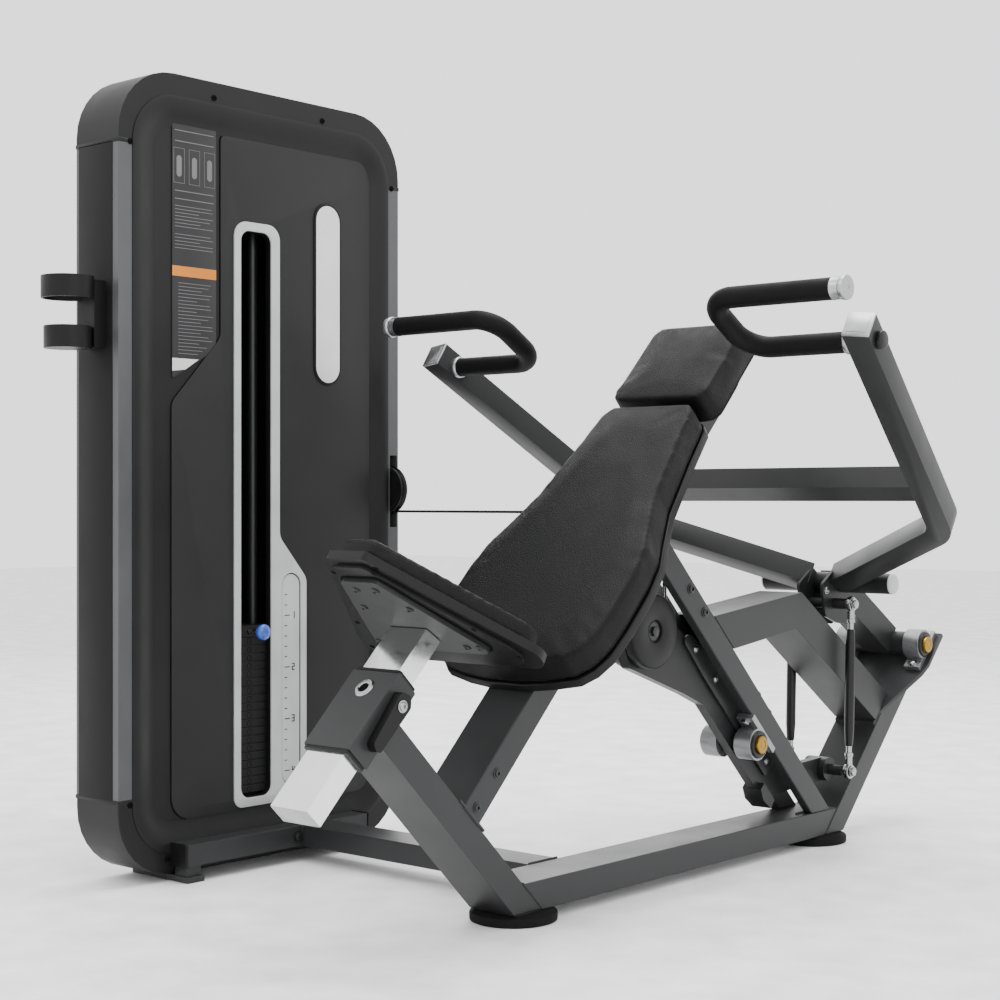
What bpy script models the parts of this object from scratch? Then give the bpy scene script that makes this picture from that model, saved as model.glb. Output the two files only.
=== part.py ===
"""Reclined shoulder press machine with a weight stack in a tower beside it.

Metres, +Z up. The design frame has x = 0 on the seat's mid-plane, y = 0 under the front foot, the user
facing -Y and the weight tower on the -X side. The empty "machine" moves that frame so that the origin is
at the floor centre of the whole machine. Most of the frame leans at 45 degrees, so its pieces are drawn
in slope coordinates: s runs up and to the rear, n runs up and to the front.
"""
import bpy
import bmesh
from math import atan2, cos, pi, radians, sin
from mathutils import Matrix, Vector

FRAME_CENTRE = (-0.1465, 0.409415, 0.0)   # floor centre of the machine's box, in the design frame
GAP = 0.0003                            # between pieces that rest on each other

# Frame tubes: 50 mm deep, 100 mm wide, in slope coordinates where they lean
TUBE_HALF_WIDTH = 0.050
TUBE_WALL = 0.003
RAIL_LOW, RAIL_HIGH = 0.020, 0.070
FRONT_POST_S = (-0.024, 0.026)
FRONT_POST_TOP = 0.4915
SPINE_N = (0.2295, 0.2795)
SPINE_TOP = 1.070
REAR_POST_S = (0.664, 0.714)
REAR_POST_X = (0.030, 0.050)
REAR_TUBE_N = (-0.687, -0.637)
REAR_TUBE_TOP = 1.190
FOOT_RADIUS = 0.075
FOOT_YS = {"foot_front": 0.0, "foot_rear": 0.941}

# Joint axes, as (y, z) of lines along X
ARM_PIVOT = (1.245, 0.394)
LEVER_PIVOT = (0.660, 0.232)
ROD_TOP = (0.988, 0.491)
ROD_BOTTOM = (0.978, 0.146)
HINGE_TUBE = (1.016, 0.534)
ROD_X = 0.0705

# Press arms
ARM_WIDTH = 0.047
ARM_END = (0.4785, 0.316, 0.994)
ARM_BEND = (0.366, 0.827, 0.660)
CROSSBAR = (0.712, 0.737)
GRIP_RADIUS = 0.0185
GRIP_LOW = (0.349, 0.971)
GRIP_HIGH = (0.222, 1.046)
GRIP_INNER_X, GRIP_OUTER_X = 0.241, 0.511

# Seat and back, in slope coordinates
SEAT_TUBE_N = (0.499, 0.537)
SEAT_TUBE_S = (-0.182, 0.200)
SLEEVE_S = (-0.069, 0.083)
SLEEVE_N = (0.4918, 0.543)
SEAT_FRONT = (-0.380, 0.624)
SEAT_REAR = (-0.130, 0.459)
SHELL_N = (0.2798, 0.2970)
PAD_N = (0.2973, 0.3520)
HEAD_N = (0.2798, 0.3500)

# Tower
TOWER_X = (-0.804, -0.677)
TOWER_Y = (-0.308, 0.412)
TOWER_Z = (0.012, 1.500)
TOWER_MID_X = -0.7405
OPENING_Y = (-0.268, 0.372)
OPENING_Z = (0.060, 1.450)
OUTER_RADIUS, OPENING_RADIUS = 0.125, 0.090
CAP_Z = (0.158, 1.360)
COLUMN_WALL = 0.003
SLOT_Y, SLOT_Z = (-0.012, 0.064), (0.130, 1.228)
SHROUD_X = (-0.694, -0.690)
STACK_Y = 0.0195
STACK_HALF = (0.0425, 0.170)
PLATE_COUNT, PLATE_PITCH, PLATE_GROOVE = 19, 0.016, 0.0015
STACK_LOW = 0.135
ROD_SPREAD = 0.045
GUIDE_RADIUS = 0.0095
PIN_Z = 0.451

# Cable and pulleys
CABLE_RADIUS = 0.003
TOP_PULLEY_RADIUS = 0.045
TOP_PULLEY_Z = 1.375
DROP_Y = 0.3985
SIDE_PULLEY_RADIUS = 0.0455
SIDE_PULLEY_Z = 0.7285
BACK_PULLEY_RADIUS = 0.042
BACK_PULLEY_Y = 0.430
RUN_Z = SIDE_PULLEY_Z - SIDE_PULLEY_RADIUS
LEVER_CABLE_LOW = 0.5005

MATERIALS = {                     # colour, roughness, metallic
    "frame_paint": ((0.105, 0.110, 0.118), 0.45, 0.3),
    "arm_paint": ((0.090, 0.093, 0.098), 0.42, 0.3),
    "shroud": ((0.055, 0.056, 0.060), 0.55, 0.0),
    "column_paint": ((0.225, 0.230, 0.235), 0.45, 0.2),
    "bezel": ((0.520, 0.525, 0.530), 0.45, 0.0),
    "plate_white": ((0.780, 0.785, 0.790), 0.40, 0.0),
    "chrome": ((0.800, 0.805, 0.810), 0.08, 1.0),
    "silver": ((0.620, 0.625, 0.630), 0.35, 0.8),
    "iron": ((0.045, 0.045, 0.047), 0.60, 0.4),
    "rubber": ((0.020, 0.020, 0.021), 0.80, 0.0),
    "leather": ((0.018, 0.018, 0.019), 0.55, 0.0),
    "shell_plastic": ((0.030, 0.030, 0.032), 0.50, 0.0),
    "pulley_plastic": ((0.030, 0.030, 0.030), 0.40, 0.0),
    "knob_blue": ((0.020, 0.160, 0.520), 0.35, 0.0),
    "cable": ((0.060, 0.060, 0.062), 0.45, 0.3),
}


def plane(u, v, origin=(0.0, 0.0, 0.0)):
    """Matrix of a drawing plane: its u and v directions, and w = u x v, the direction of thickness."""
    u, v = Vector(u).normalized(), Vector(v).normalized()
    turn = Matrix((u, v, u.cross(v))).transposed().to_4x4()
    return Matrix.Translation(origin) @ turn


SIDE = plane((0, 1, 0), (0, 0, 1))        # u = y, v = z, w = x
SLOPE = plane((0, 1, 1), (0, -1, 1))      # u = s, v = n, w = x
BACK = plane((1, 0, 0), (0, 1, 1))        # u = x, v = s, w = n
PLAN = plane((1, 0, 0), (0, 1, 0))        # u = x, v = y, w = z
ACROSS = plane((0, 0, 1), (1, 0, 0))      # u = z, v = x, w = y


def slope_point(s, n):
    """(y, z) of a point given in slope coordinates."""
    return (s - n) / 2 ** 0.5, (s + n) / 2 ** 0.5


def to_slope(y, z):
    """(s, n) of a point given as (y, z)."""
    return (y + z) / 2 ** 0.5, (z - y) / 2 ** 0.5


# ---------------------------------------------------------------- shapes
def solid_from(data, matrix):
    """A welded mesh object, outside faces out, from curve data or from an object's evaluated mesh."""
    scratch = bpy.data.objects.new("scratch", data) if not isinstance(data, bpy.types.Object) else data
    bpy.context.scene.collection.objects.link(scratch)
    graph = bpy.context.evaluated_depsgraph_get()
    mesh = bpy.data.meshes.new_from_object(scratch.evaluated_get(graph))
    bpy.data.objects.remove(scratch)
    mesh.transform(matrix)
    edit = bmesh.new()
    edit.from_mesh(mesh)
    bmesh.ops.remove_doubles(edit, verts=edit.verts, dist=0.00001)
    bmesh.ops.recalc_face_normals(edit, faces=edit.faces)
    edit.to_mesh(mesh)
    edit.free()
    return bpy.data.objects.new("solid", mesh)


def prism(frame, loops, low, high):
    """Flat outline, with any holes as further loops, thickened from w = low to w = high."""
    curve = bpy.data.curves.new("outline", "CURVE")
    curve.dimensions = "2D"
    curve.fill_mode = "BOTH"
    curve.extrude = (high - low) / 2
    for loop in loops:
        spline = curve.splines.new("POLY")
        spline.points.add(len(loop) - 1)
        for point, (u, v) in zip(spline.points, loop):
            point.co = (u, v, 0.0, 1.0)
        spline.use_cyclic_u = True
    return solid_from(curve, frame @ Matrix.Translation((0, 0, (low + high) / 2)))


def sweep(points, radius, sides=2, tilt=0.0):
    """Round bar through the points; sides = 0 gives a square bar, turned by tilt."""
    curve = bpy.data.curves.new("path", "CURVE")
    curve.dimensions = "3D"
    curve.bevel_depth = radius
    curve.bevel_resolution = sides
    curve.use_fill_caps = True
    curve.twist_mode = "Z_UP"
    spline = curve.splines.new("POLY")
    spline.points.add(len(points) - 1)
    for knot, place in zip(spline.points, points):
        knot.co = (*place, 1.0)
        knot.tilt = tilt
    return solid_from(curve, Matrix.Identity(4))


def turned(frame, profile, steps=32):
    """Ring turned about the frame's w axis from a closed profile of (radius, w) points."""
    mesh = bpy.data.meshes.new("profile")
    count = len(profile)
    edges = [(i, (i + 1) % count) for i in range(count)]
    mesh.from_pydata([(r, 0.0, w) for r, w in profile], edges, [])
    ring = bpy.data.objects.new("ring", mesh)
    screw = ring.modifiers.new("turn", "SCREW")
    screw.steps = steps
    screw.render_steps = steps
    screw.use_merge_vertices = True
    screw.merge_threshold = 0.00005
    return solid_from(ring, frame)


def cylinder(frame, u, v, radius, low, high, segments=28):
    """Cylinder along w, centred on (u, v)."""
    mesh = bpy.data.meshes.new("cylinder")
    edit = bmesh.new()
    bmesh.ops.create_cone(edit, cap_ends=True, segments=segments, radius1=radius, radius2=radius,
                          depth=high - low)
    edit.to_mesh(mesh)
    edit.free()
    mesh.transform(frame @ Matrix.Translation((u, v, (low + high) / 2)))
    return bpy.data.objects.new("solid", mesh)


def box(x, y, z):
    """Box between pairs of bounds."""
    mesh = bpy.data.meshes.new("box")
    edit = bmesh.new()
    bmesh.ops.create_cube(edit, size=1.0)
    edit.to_mesh(mesh)
    edit.free()
    size = Matrix.Diagonal((x[1] - x[0], y[1] - y[0], z[1] - z[0], 1.0))
    mesh.transform(Matrix.Translation((sum(x) / 2, sum(y) / 2, sum(z) / 2)) @ size)
    return bpy.data.objects.new("solid", mesh)


# ---------------------------------------------------------------- outlines
def rectangle(u, v):
    return [(u[0], v[0]), (u[1], v[0]), (u[1], v[1]), (u[0], v[1])]


def rounded(corners, radius, steps=4):
    """Closed outline with each corner replaced by an arc; a corner may carry its own radius."""
    points = []
    for i, corner in enumerate(corners):
        here = Vector(corner[:2])
        size = corner[2] if len(corner) > 2 else radius
        back = (Vector(corners[i - 1][:2]) - here).normalized()
        ahead = (Vector(corners[(i + 1) % len(corners)][:2]) - here).normalized()
        half = back.angle(ahead) / 2
        reach = size / max(abs(sin(half) / max(cos(half), 1e-6)), 1e-6)
        middle = here + (back + ahead).normalized() * (size / sin(half))
        start, end = here + back * reach - middle, here + ahead * reach - middle
        turn = start.angle_signed(end)
        for k in range(steps + 1):
            angle = -turn * k / steps
            points.append((middle.x + start.x * cos(angle) - start.y * sin(angle),
                           middle.y + start.x * sin(angle) + start.y * cos(angle)))
    return points


def arc(centre, radius, start, end, steps):
    """Points on an arc, angles in degrees."""
    angles = [radians(start + (end - start) * k / steps) for k in range(steps + 1)]
    return [(centre[0] + radius * cos(a), centre[1] + radius * sin(a)) for a in angles]


def bent(points, radius, steps=6):
    """Path through 3D corners with an arc at each inner one."""
    path = [Vector(points[0])]
    for before, here, after in zip(points, points[1:], points[2:]):
        here = Vector(here)
        back, ahead = (Vector(before) - here).normalized(), (Vector(after) - here).normalized()
        half = back.angle(ahead) / 2
        reach = radius * cos(half) / sin(half)
        middle = here + (back + ahead).normalized() * (radius / sin(half))
        start, end = here + back * reach - middle, here + ahead * reach - middle
        sweep_angle = start.angle(end)
        axis = start.cross(end).normalized()
        for k in range(steps + 1):
            path.append(middle + Matrix.Rotation(sweep_angle * k / steps, 3, axis) @ start)
    path.append(Vector(points[-1]))
    return path


def mirrored(half):
    """Outline symmetric about u = 0, from its points on the +u side in order of v."""
    return half + [(-u, v) for u, v in reversed(half)]


# ---------------------------------------------------------------- scene
def clear_scene():
    for old in list(bpy.data.objects):
        bpy.data.objects.remove(old)


def collection(name):
    group = bpy.data.collections.new(name)
    bpy.context.scene.collection.children.link(group)
    return group


def empty(name, place, parent=None):
    marker = bpy.data.objects.new(name, None)
    marker.empty_display_size = 0.05
    PARTS.objects.link(marker)
    marker.location = place
    marker.parent = parent
    return marker


def make_materials():
    made = {}
    for name, (colour, roughness, metallic) in MATERIALS.items():
        material = bpy.data.materials.new(name)
        material.use_nodes = True
        shader = material.node_tree.nodes["Principled BSDF"]
        shader.inputs["Base Color"].default_value = (*colour, 1.0)
        shader.inputs["Roughness"].default_value = roughness
        shader.inputs["Metallic"].default_value = metallic
        made[name] = material
    return made


def node(name, solid, material, pivot=None):
    """Name a solid as a piece of the machine, riding on the machine or on a pivot empty."""
    solid.name = name
    solid.data.name = name
    solid.data.materials.clear()
    solid.data.materials.append(SHADES[material].copy())
    PARTS.objects.link(solid)
    solid.parent = pivot or MACHINE
    solid.location = -solid.parent.location if pivot else (0, 0, 0)
    solid.data.shade_smooth()
    solid.data.set_sharp_from_angle(angle=radians(35))
    return solid


def combine(part, tool, operation, solver="EXACT"):
    """Boolean of a part with a tool, which stays as a wire guide."""
    tool.name = f"{part.name}_{operation.lower()}"
    CUTTERS.objects.link(tool)
    tool.parent = MACHINE
    tool.hide_render = True
    tool.display_type = "WIRE"
    step = part.modifiers.new(tool.name, "BOOLEAN")
    step.operation = operation
    step.solver = solver
    step.object = tool
    return part


def cut(part, *tools):
    for tool in tools:
        combine(part, tool, "DIFFERENCE")
    return part


def join(part, *tools):
    for tool in tools:
        combine(part, tool, "UNION")
    return part


# ---------------------------------------------------------------- frame
def leaning_tube(name, s, n, half_width, trim):
    """Hollow tube whose side outline is a quadrilateral in slope coordinates, open at both ends.

    trim gives the outline's four corners; s or n is the pair of long faces, the other is None.
    """
    part = node(name, prism(SLOPE, [trim], -half_width, half_width), "frame_paint")
    inner = half_width - TUBE_WALL
    if s:
        bore = rectangle((s[0] + TUBE_WALL, s[1] - TUBE_WALL), (-1.2, 1.2))
    else:
        bore = rectangle((-0.5, 1.6), (n[0] + TUBE_WALL, n[1] - TUBE_WALL))
    return cut(part, prism(SLOPE, [bore], -inner, inner))


def make_base():
    front, rear = FRONT_POST_S[1] * 2 ** 0.5 + GAP, -REAR_TUBE_N[1] * 2 ** 0.5 - GAP
    outline = [(front - RAIL_LOW, RAIL_LOW), (rear + RAIL_LOW, RAIL_LOW),
               (rear + RAIL_HIGH, RAIL_HIGH), (front - RAIL_HIGH, RAIL_HIGH)]
    rail = node("base_rail", prism(SIDE, [outline], -TUBE_HALF_WIDTH, TUBE_HALF_WIDTH), "frame_paint")
    inner = TUBE_HALF_WIDTH - TUBE_WALL
    cut(rail, box((-inner, inner), (-0.2, 1.2), (RAIL_LOW + TUBE_WALL, RAIL_HIGH - TUBE_WALL)))
    for name, y in FOOT_YS.items():
        profile = [(0.010, 0.0), (FOOT_RADIUS - 0.002, 0.0), (FOOT_RADIUS, 0.002),
                   (FOOT_RADIUS, 0.017), (FOOT_RADIUS - 0.003, RAIL_LOW - GAP), (0.010, RAIL_LOW - GAP)]
        node(name, turned(Matrix.Translation((0, y, 0)), profile, 28), "rubber")


def make_leaning_frame():
    floor_sum = RAIL_LOW * 2 ** 0.5
    low, high = FRONT_POST_S
    trim = [(low, FRONT_POST_TOP), (low, floor_sum - low), (high, floor_sum - high), (high, FRONT_POST_TOP)]
    leaning_tube("front_post", FRONT_POST_S, None, TUBE_HALF_WIDTH, trim)
    leaning_tube("back_spine", None, SPINE_N, TUBE_HALF_WIDTH, rectangle((high + GAP, SPINE_TOP), SPINE_N))
    low, high = REAR_POST_S
    rail_sum = (RAIL_HIGH + GAP) * 2 ** 0.5
    top = SPINE_N[0] - GAP
    trim = [(low, top), (low, rail_sum - low), (high, rail_sum - high), (high, top)]
    mirror_x = -REAR_POST_X[1], -REAR_POST_X[0]
    for name, x in (("rear_post_left", mirror_x), ("rear_post_right", REAR_POST_X)):
        bar = node(name, prism(SLOPE, [trim], *x), "frame_paint")
        bore = rectangle((low + TUBE_WALL, high - TUBE_WALL), (-1.2, 1.2))
        cut(bar, prism(SLOPE, [bore], x[0] + TUBE_WALL, x[1] - TUBE_WALL))


def make_rear_frame():
    low, high = REAR_TUBE_N
    floor_sum = RAIL_LOW * 2 ** 0.5
    trim = [(floor_sum - low, low), (floor_sum - high, high), (REAR_TUBE_TOP, high), (REAR_TUBE_TOP, low)]
    tube = node("rear_tube", prism(SLOPE, [trim], -TUBE_HALF_WIDTH, TUBE_HALF_WIDTH), "frame_paint")
    half = [(0.0475, 0.955), (0.0475, 0.985), (0.105, 1.100), (0.112, 1.125), (0.112, 1.216)]
    join(tube, prism(BACK, [mirrored(half)], high - 0.0015, high + 0.008))
    inner = TUBE_HALF_WIDTH - TUBE_WALL
    bore = rectangle((-0.5, 1.6), (low + TUBE_WALL, high - TUBE_WALL))
    cut(tube, prism(SLOPE, [bore], -inner, inner))

    upper = [(0.525, 0.488), (0.831, 0.521), (1.178, 0.287)]
    lower = [(0.593, 0.422), (0.812, 0.448), (1.127, 0.236)]
    start, end = REAR_POST_S[1] + GAP, high + 0.008 + GAP
    outline = trimmed_beam(upper, lower, start, end)
    beam = node("bent_beam", prism(SIDE, [outline], -TUBE_HALF_WIDTH, TUBE_HALF_WIDTH), "frame_paint")
    wall = [(y, z - TUBE_WALL) for y, z in upper], [(y, z + TUBE_WALL) for y, z in lower]
    cut(beam, prism(SIDE, [trimmed_beam(*wall, start - 0.05, end - 0.05)], -inner, inner))


def trimmed_beam(upper, lower, start_s, end_n):
    """Outline of the bent beam between its front plane s = start_s and its rear plane n = end_n."""
    def meet(a, b, axis, value):
        a, b = to_slope(*a), to_slope(*b)
        t = (value - a[axis]) / (b[axis] - a[axis])
        return slope_point(a[0] + (b[0] - a[0]) * t, a[1] + (b[1] - a[1]) * t)
    top = [meet(upper[0], upper[1], 0, start_s), upper[1], meet(upper[1], upper[2], 1, end_n)]
    bottom = [meet(lower[0], lower[1], 0, start_s), lower[1], meet(lower[1], lower[2], 1, end_n)]
    return bottom + top[::-1]


def pillow_block(name, frame, base, radius, bore, x):
    """Bearing housing centred on u = v = 0, standing on the plane v = -base, with two bolt wings."""
    wing, thick = 0.052, 0.012
    angle = 180 / pi * atan2(thick - base, (radius ** 2 - (thick - base) ** 2) ** 0.5)
    dome = arc((0, 0), radius, angle, 180 - angle, 12)
    outline = [(-wing, -base), (wing, -base), (wing, thick - base)] + dome + [(-wing, thick - base)]
    hole = arc((0, 0), bore, 0, 340, 17)
    node(name, prism(frame, [outline, hole], *x), "silver")


def make_bearings():
    arm_s, arm_n = to_slope(*ARM_PIVOT)
    arm_base = arm_n - (REAR_TUBE_N[1] + 0.008 + GAP)
    arm_frame = plane((0, 1, 1), (0, -1, 1), (0, *ARM_PIVOT))
    lever_base = REAR_POST_S[0] - GAP - to_slope(*LEVER_PIVOT)[0]
    lever_frame = plane((0, -1, 1), (0, -1, -1), (0, *LEVER_PIVOT))
    for side, sign in (("left", -1), ("right", 1)):
        x = sorted((sign * 0.065, sign * 0.101))
        pillow_block(f"arm_bearing_{side}", arm_frame, arm_base, 0.032, 0.0150, x)
        x = sorted((sign * 0.0205, sign * 0.058))
        pillow_block(f"lever_bearing_{side}", lever_frame, lever_base, 0.0315, 0.0125, x)


# ---------------------------------------------------------------- seat and back
def seat_plane():
    front, rear = Vector((0, *SEAT_FRONT)), Vector((0, *SEAT_REAR))
    return plane((1, 0, 0), rear - front, front), (rear - front).length


def make_seat():
    inner = 0.0405
    sleeve = node("seat_sleeve", prism(SLOPE, [rounded(rectangle(SLEEVE_S, SLEEVE_N), 0.003, 2)],
                                       -TUBE_HALF_WIDTH, TUBE_HALF_WIDTH), "frame_paint")
    bore = rectangle((-0.3, 0.3), (SEAT_TUBE_N[0] - 0.0005, SEAT_TUBE_N[1] + 0.0005))
    cut(sleeve, prism(SLOPE, [bore], -inner, inner))

    frame, length = seat_plane()
    tube = node("seat_tube", prism(SLOPE, [rectangle(SEAT_TUBE_S, SEAT_TUBE_N)], -0.040, 0.040),
                "chrome", SEAT_SLIDE)
    bore = rectangle((-0.4, 0.4), (SEAT_TUBE_N[0] + 0.0025, SEAT_TUBE_N[1] - 0.0025))
    under = -0.0300
    cut(tube, prism(SLOPE, [bore], -0.0375, 0.0375),
        prism(frame, [rectangle((-0.1, 0.1), (-0.1, 0.4))], under - GAP, 0.1))
    bracket = rounded([(-0.038, 0.034), (0.038, 0.034), (0.128, 0.245), (-0.128, 0.245)], 0.014)
    node("seat_bracket", prism(frame, [bracket], under, -0.0223), "iron", SEAT_SLIDE)
    for name, edge, low, high, slot in (("seat_shell", 0.0, -0.0220, -GAP, "shell_plastic"),
                                        ("seat_pad", 0.011, GAP, 0.0315, "leather")):
        front, rear = 0.0404 - edge * 0.58, 0.2223 - edge * 1.71
        corners = [(-front, edge - 0.011, 0.014), (front, edge - 0.011, 0.014),
                   (rear, length + 0.011 - edge, 0.040), (-rear, length + 0.011 - edge, 0.040)]
        node(name, prism(frame, [rounded(corners, 0.04, 6)], low, high), slot, SEAT_SLIDE)

    latch = [(-0.046, 0.500), (0.050, 0.497), (0.064, 0.510), (0.056, 0.530), (-0.040, 0.521)]
    node("seat_latch", prism(SLOPE, [rounded(latch, 0.008)], TUBE_HALF_WIDTH + GAP, 0.066), "rubber",
         LATCH_PIVOT)


def make_back():
    widths = [(0.266, 0.040), (0.273, 0.092), (0.286, 0.145), (0.308, 0.169), (0.340, 0.184),
              (0.400, 0.190), (0.480, 0.190), (0.540, 0.182), (0.590, 0.163), (0.667, 0.137),
              (0.800, 0.115), (0.880, 0.105), (0.900, 0.090)]
    outline = mirrored([(half, s) for s, half in widths])
    node("back_shell", prism(BACK, [outline], *SHELL_N), "shell_plastic")
    node("back_pad", prism(BACK, [outline], *PAD_N), "leather")
    head = rounded([(-0.111, 0.915), (0.111, 0.915), (0.106, 1.128), (-0.106, 1.128)], 0.025)
    node("head_pad", prism(BACK, [head], *HEAD_N), "leather")


# ---------------------------------------------------------------- press arms
def arm_path(sign):
    """Centre line of an arm, from its free end through the bend to the hinge tube."""
    end, turn = Vector(ARM_END), Vector(ARM_BEND)
    inner = Vector((0.010, *HINGE_TUBE))
    points = bent([end, turn, inner], 0.060)
    return [(sign * p.x, p.y, p.z) for p in points]


def square_bar(points, width):
    return sweep(points, width / 2 ** 0.5, sides=0, tilt=radians(45))


def make_arms():
    y, z = HINGE_TUBE
    clearance = 0.021 + GAP
    nose = arc((y, z), clearance, 90, 270, 16)
    behind = nose + [(y, z - 0.09), (y + 0.09, z - 0.09), (y + 0.09, z + 0.09), (y, z + 0.09)]
    for side, sign in (("left", -1), ("right", 1)):
        arm = node(f"arm_{side}", square_bar(arm_path(sign), ARM_WIDTH), "arm_paint", ARM_AXIS)
        middle = sorted((sign * 0.0315, -sign * 0.2))
        cut(arm, prism(SIDE, [behind], -0.3, 0.3), box(middle, (0.85, 1.1), (0.4, 0.7)))

    along = (Vector(ARM_BEND) - Vector(ARM_END)).yz.normalized()
    frame = plane((0, *along), (0, -along[1], along[0]), (0, *CROSSBAR))
    half = ARM_WIDTH / 2
    crossbar = node("arm_crossbar", prism(frame, [rectangle((-half, half), (-half, half))], -0.395, 0.395),
                    "arm_paint", ARM_AXIS)
    cut(crossbar, *[square_bar(arm_path(sign), ARM_WIDTH + 2 * GAP) for sign in (-1, 1)])


def make_arm_hinge():
    """Hinge tube, centre tube, fins, rod shaft and pivot hub, welded into one piece."""
    hub = node("arm_hinge", cylinder(SIDE, *HINGE_TUBE, 0.021, -0.150, 0.150, 24), "arm_paint", ARM_AXIS)
    out = (Vector(HINGE_TUBE) - Vector(ARM_PIVOT))
    reach = out.length
    out.normalize()
    frame = plane((0, *out), (0, -out[1], out[0]), (0, *ARM_PIVOT))
    join(hub, prism(frame, [rectangle((0.012, reach - 0.004), (-0.030, 0.030))], -0.030, 0.030))
    fin = rounded([(0.995, 0.566), (0.940, 0.532), (0.953, 0.466), (1.000, 0.450), (1.085, 0.440),
                   (1.072, 0.505)], 0.012, 3)
    for low, high in ((-0.0308, -0.0245), (0.0245, 0.0308)):
        join(hub, prism(SIDE, [fin], low, high))
    join(hub, cylinder(SIDE, *ROD_TOP, 0.011, -0.0630, 0.0630, 16),
         cylinder(SIDE, *ROD_TOP, 0.006, -0.0830, 0.0830, 12),
         cylinder(SIDE, *ARM_PIVOT, 0.025, -0.0625, 0.0625, 24),
         cylinder(SIDE, *ARM_PIVOT, 0.0145, -0.1070, 0.1070, 16))


def make_grips():
    for side, sign in (("left", -1), ("right", 1)):
        corners = [(0.465, *GRIP_LOW), (GRIP_INNER_X, *GRIP_LOW), (GRIP_INNER_X, *GRIP_HIGH),
                   (GRIP_OUTER_X, *GRIP_HIGH)]
        path = [(sign * p.x, p.y, p.z) for p in bent(corners, 0.050, 5)]
        grip = node(f"grip_{side}", sweep(path, GRIP_RADIUS, sides=4), "rubber", ARM_AXIS)
        cut(grip, square_bar(arm_path(sign), ARM_WIDTH + 2 * GAP))


# ---------------------------------------------------------------- lever and rods
def make_lever():
    outline = [(0.607, -0.445), (0.621, -0.464), (0.685, -0.520), (0.690, -0.300), (0.690, -0.120),
               (0.655, 0.000), (0.655, 0.110), (0.600, 0.140), (0.530, 0.130), (0.504, 0.063),
               (0.582, -0.100), (0.607, -0.160)]
    lever = node("lever_plate", prism(SLOPE, [rounded(outline[::-1], 0.008, 2)], -0.010, 0.010),
                 "arm_paint", LEVER_AXIS)
    knee, hub = Vector((0.650, -0.455)), Vector(to_slope(*ROD_BOTTOM))
    along = (hub - knee).normalized()
    across = Vector((-along.y, along.x)) * 0.024
    arm = [tuple(knee - across), tuple(hub - across), tuple(hub + across), tuple(knee + across)]
    stop = [(0.6060, -0.4180), (0.5965, -0.4400), (0.6015, -0.4720), (0.6230, -0.4720), (0.6230, -0.4180)]
    join(lever, prism(SLOPE, [stop[::-1]], -0.022, 0.022), prism(SLOPE, [arm], -0.0095, 0.0095),
         cylinder(SIDE, *ROD_BOTTOM, 0.0245, -0.025, 0.025, 24),
         cylinder(SIDE, *ROD_BOTTOM, 0.011, -0.0590, 0.0590, 16),
         cylinder(SIDE, *LEVER_PIVOT, 0.020, -0.0195, 0.0195, 24),
         cylinder(SIDE, *LEVER_PIVOT, 0.0120, -0.0610, 0.0610, 16))
    centre = Matrix.Translation((0, 0.357, 0.467)) @ SIDE
    for side, sign in (("left", -1), ("right", 1)):
        near, far = sign * (0.010 + GAP), sign * 0.035
        edge = sign * 0.004
        profile = [(0.0175, near), (0.0655, near), (0.0695, near + edge), (0.0695, far - edge),
                   (0.0655, far), (0.0175, far)]
        node(f"lever_disc_{side}", turned(centre, profile, 28), "iron", LEVER_AXIS)


def make_rods():
    """Link rods, pinned at the top on the arm hinge.

    The lower eye turns with its rod and has no pivot of its own: the linkage is left open there.
    """
    top, bottom = Vector(ROD_TOP), Vector(ROD_BOTTOM)
    length = (top - bottom).length
    down = (bottom - top).normalized()
    frame = plane((0, *down), (0, -down[1], down[0]), (0, *ROD_TOP))
    for side, sign in (("left", -1), ("right", 1)):
        x = sorted((sign * 0.0635, sign * 0.0775))
        eye = 0.0165
        ends = [arc((0, 0), eye, 35, 325, 14), arc((length, 0), eye, 215, 505, 14)]
        rod = node(f"link_rod_{side}", prism(frame, [ends[0]], *x), "iron", ROD_AXIS)
        join(rod, prism(frame, [ends[1]], *x))
        points = [(sign * ROD_X, *(top + down * t)) for t in (0.013, length - 0.013)]
        join(rod, sweep(points, 0.0105, sides=4),
             cylinder(SIDE, *ROD_BOTTOM, 0.0085, *sorted((sign * 0.070, sign * 0.0840)), 6))
        cut(rod, cylinder(SIDE, *ROD_TOP, 0.0064, -0.1, 0.1, 16))


# ---------------------------------------------------------------- tower
def tower_outline(inset=0.0):
    y, z = OPENING_Y, OPENING_Z
    corners = rectangle((y[0] + inset, y[1] - inset), (z[0] + inset, z[1] - inset))
    return rounded(corners, OPENING_RADIUS - inset, 6)


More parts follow.
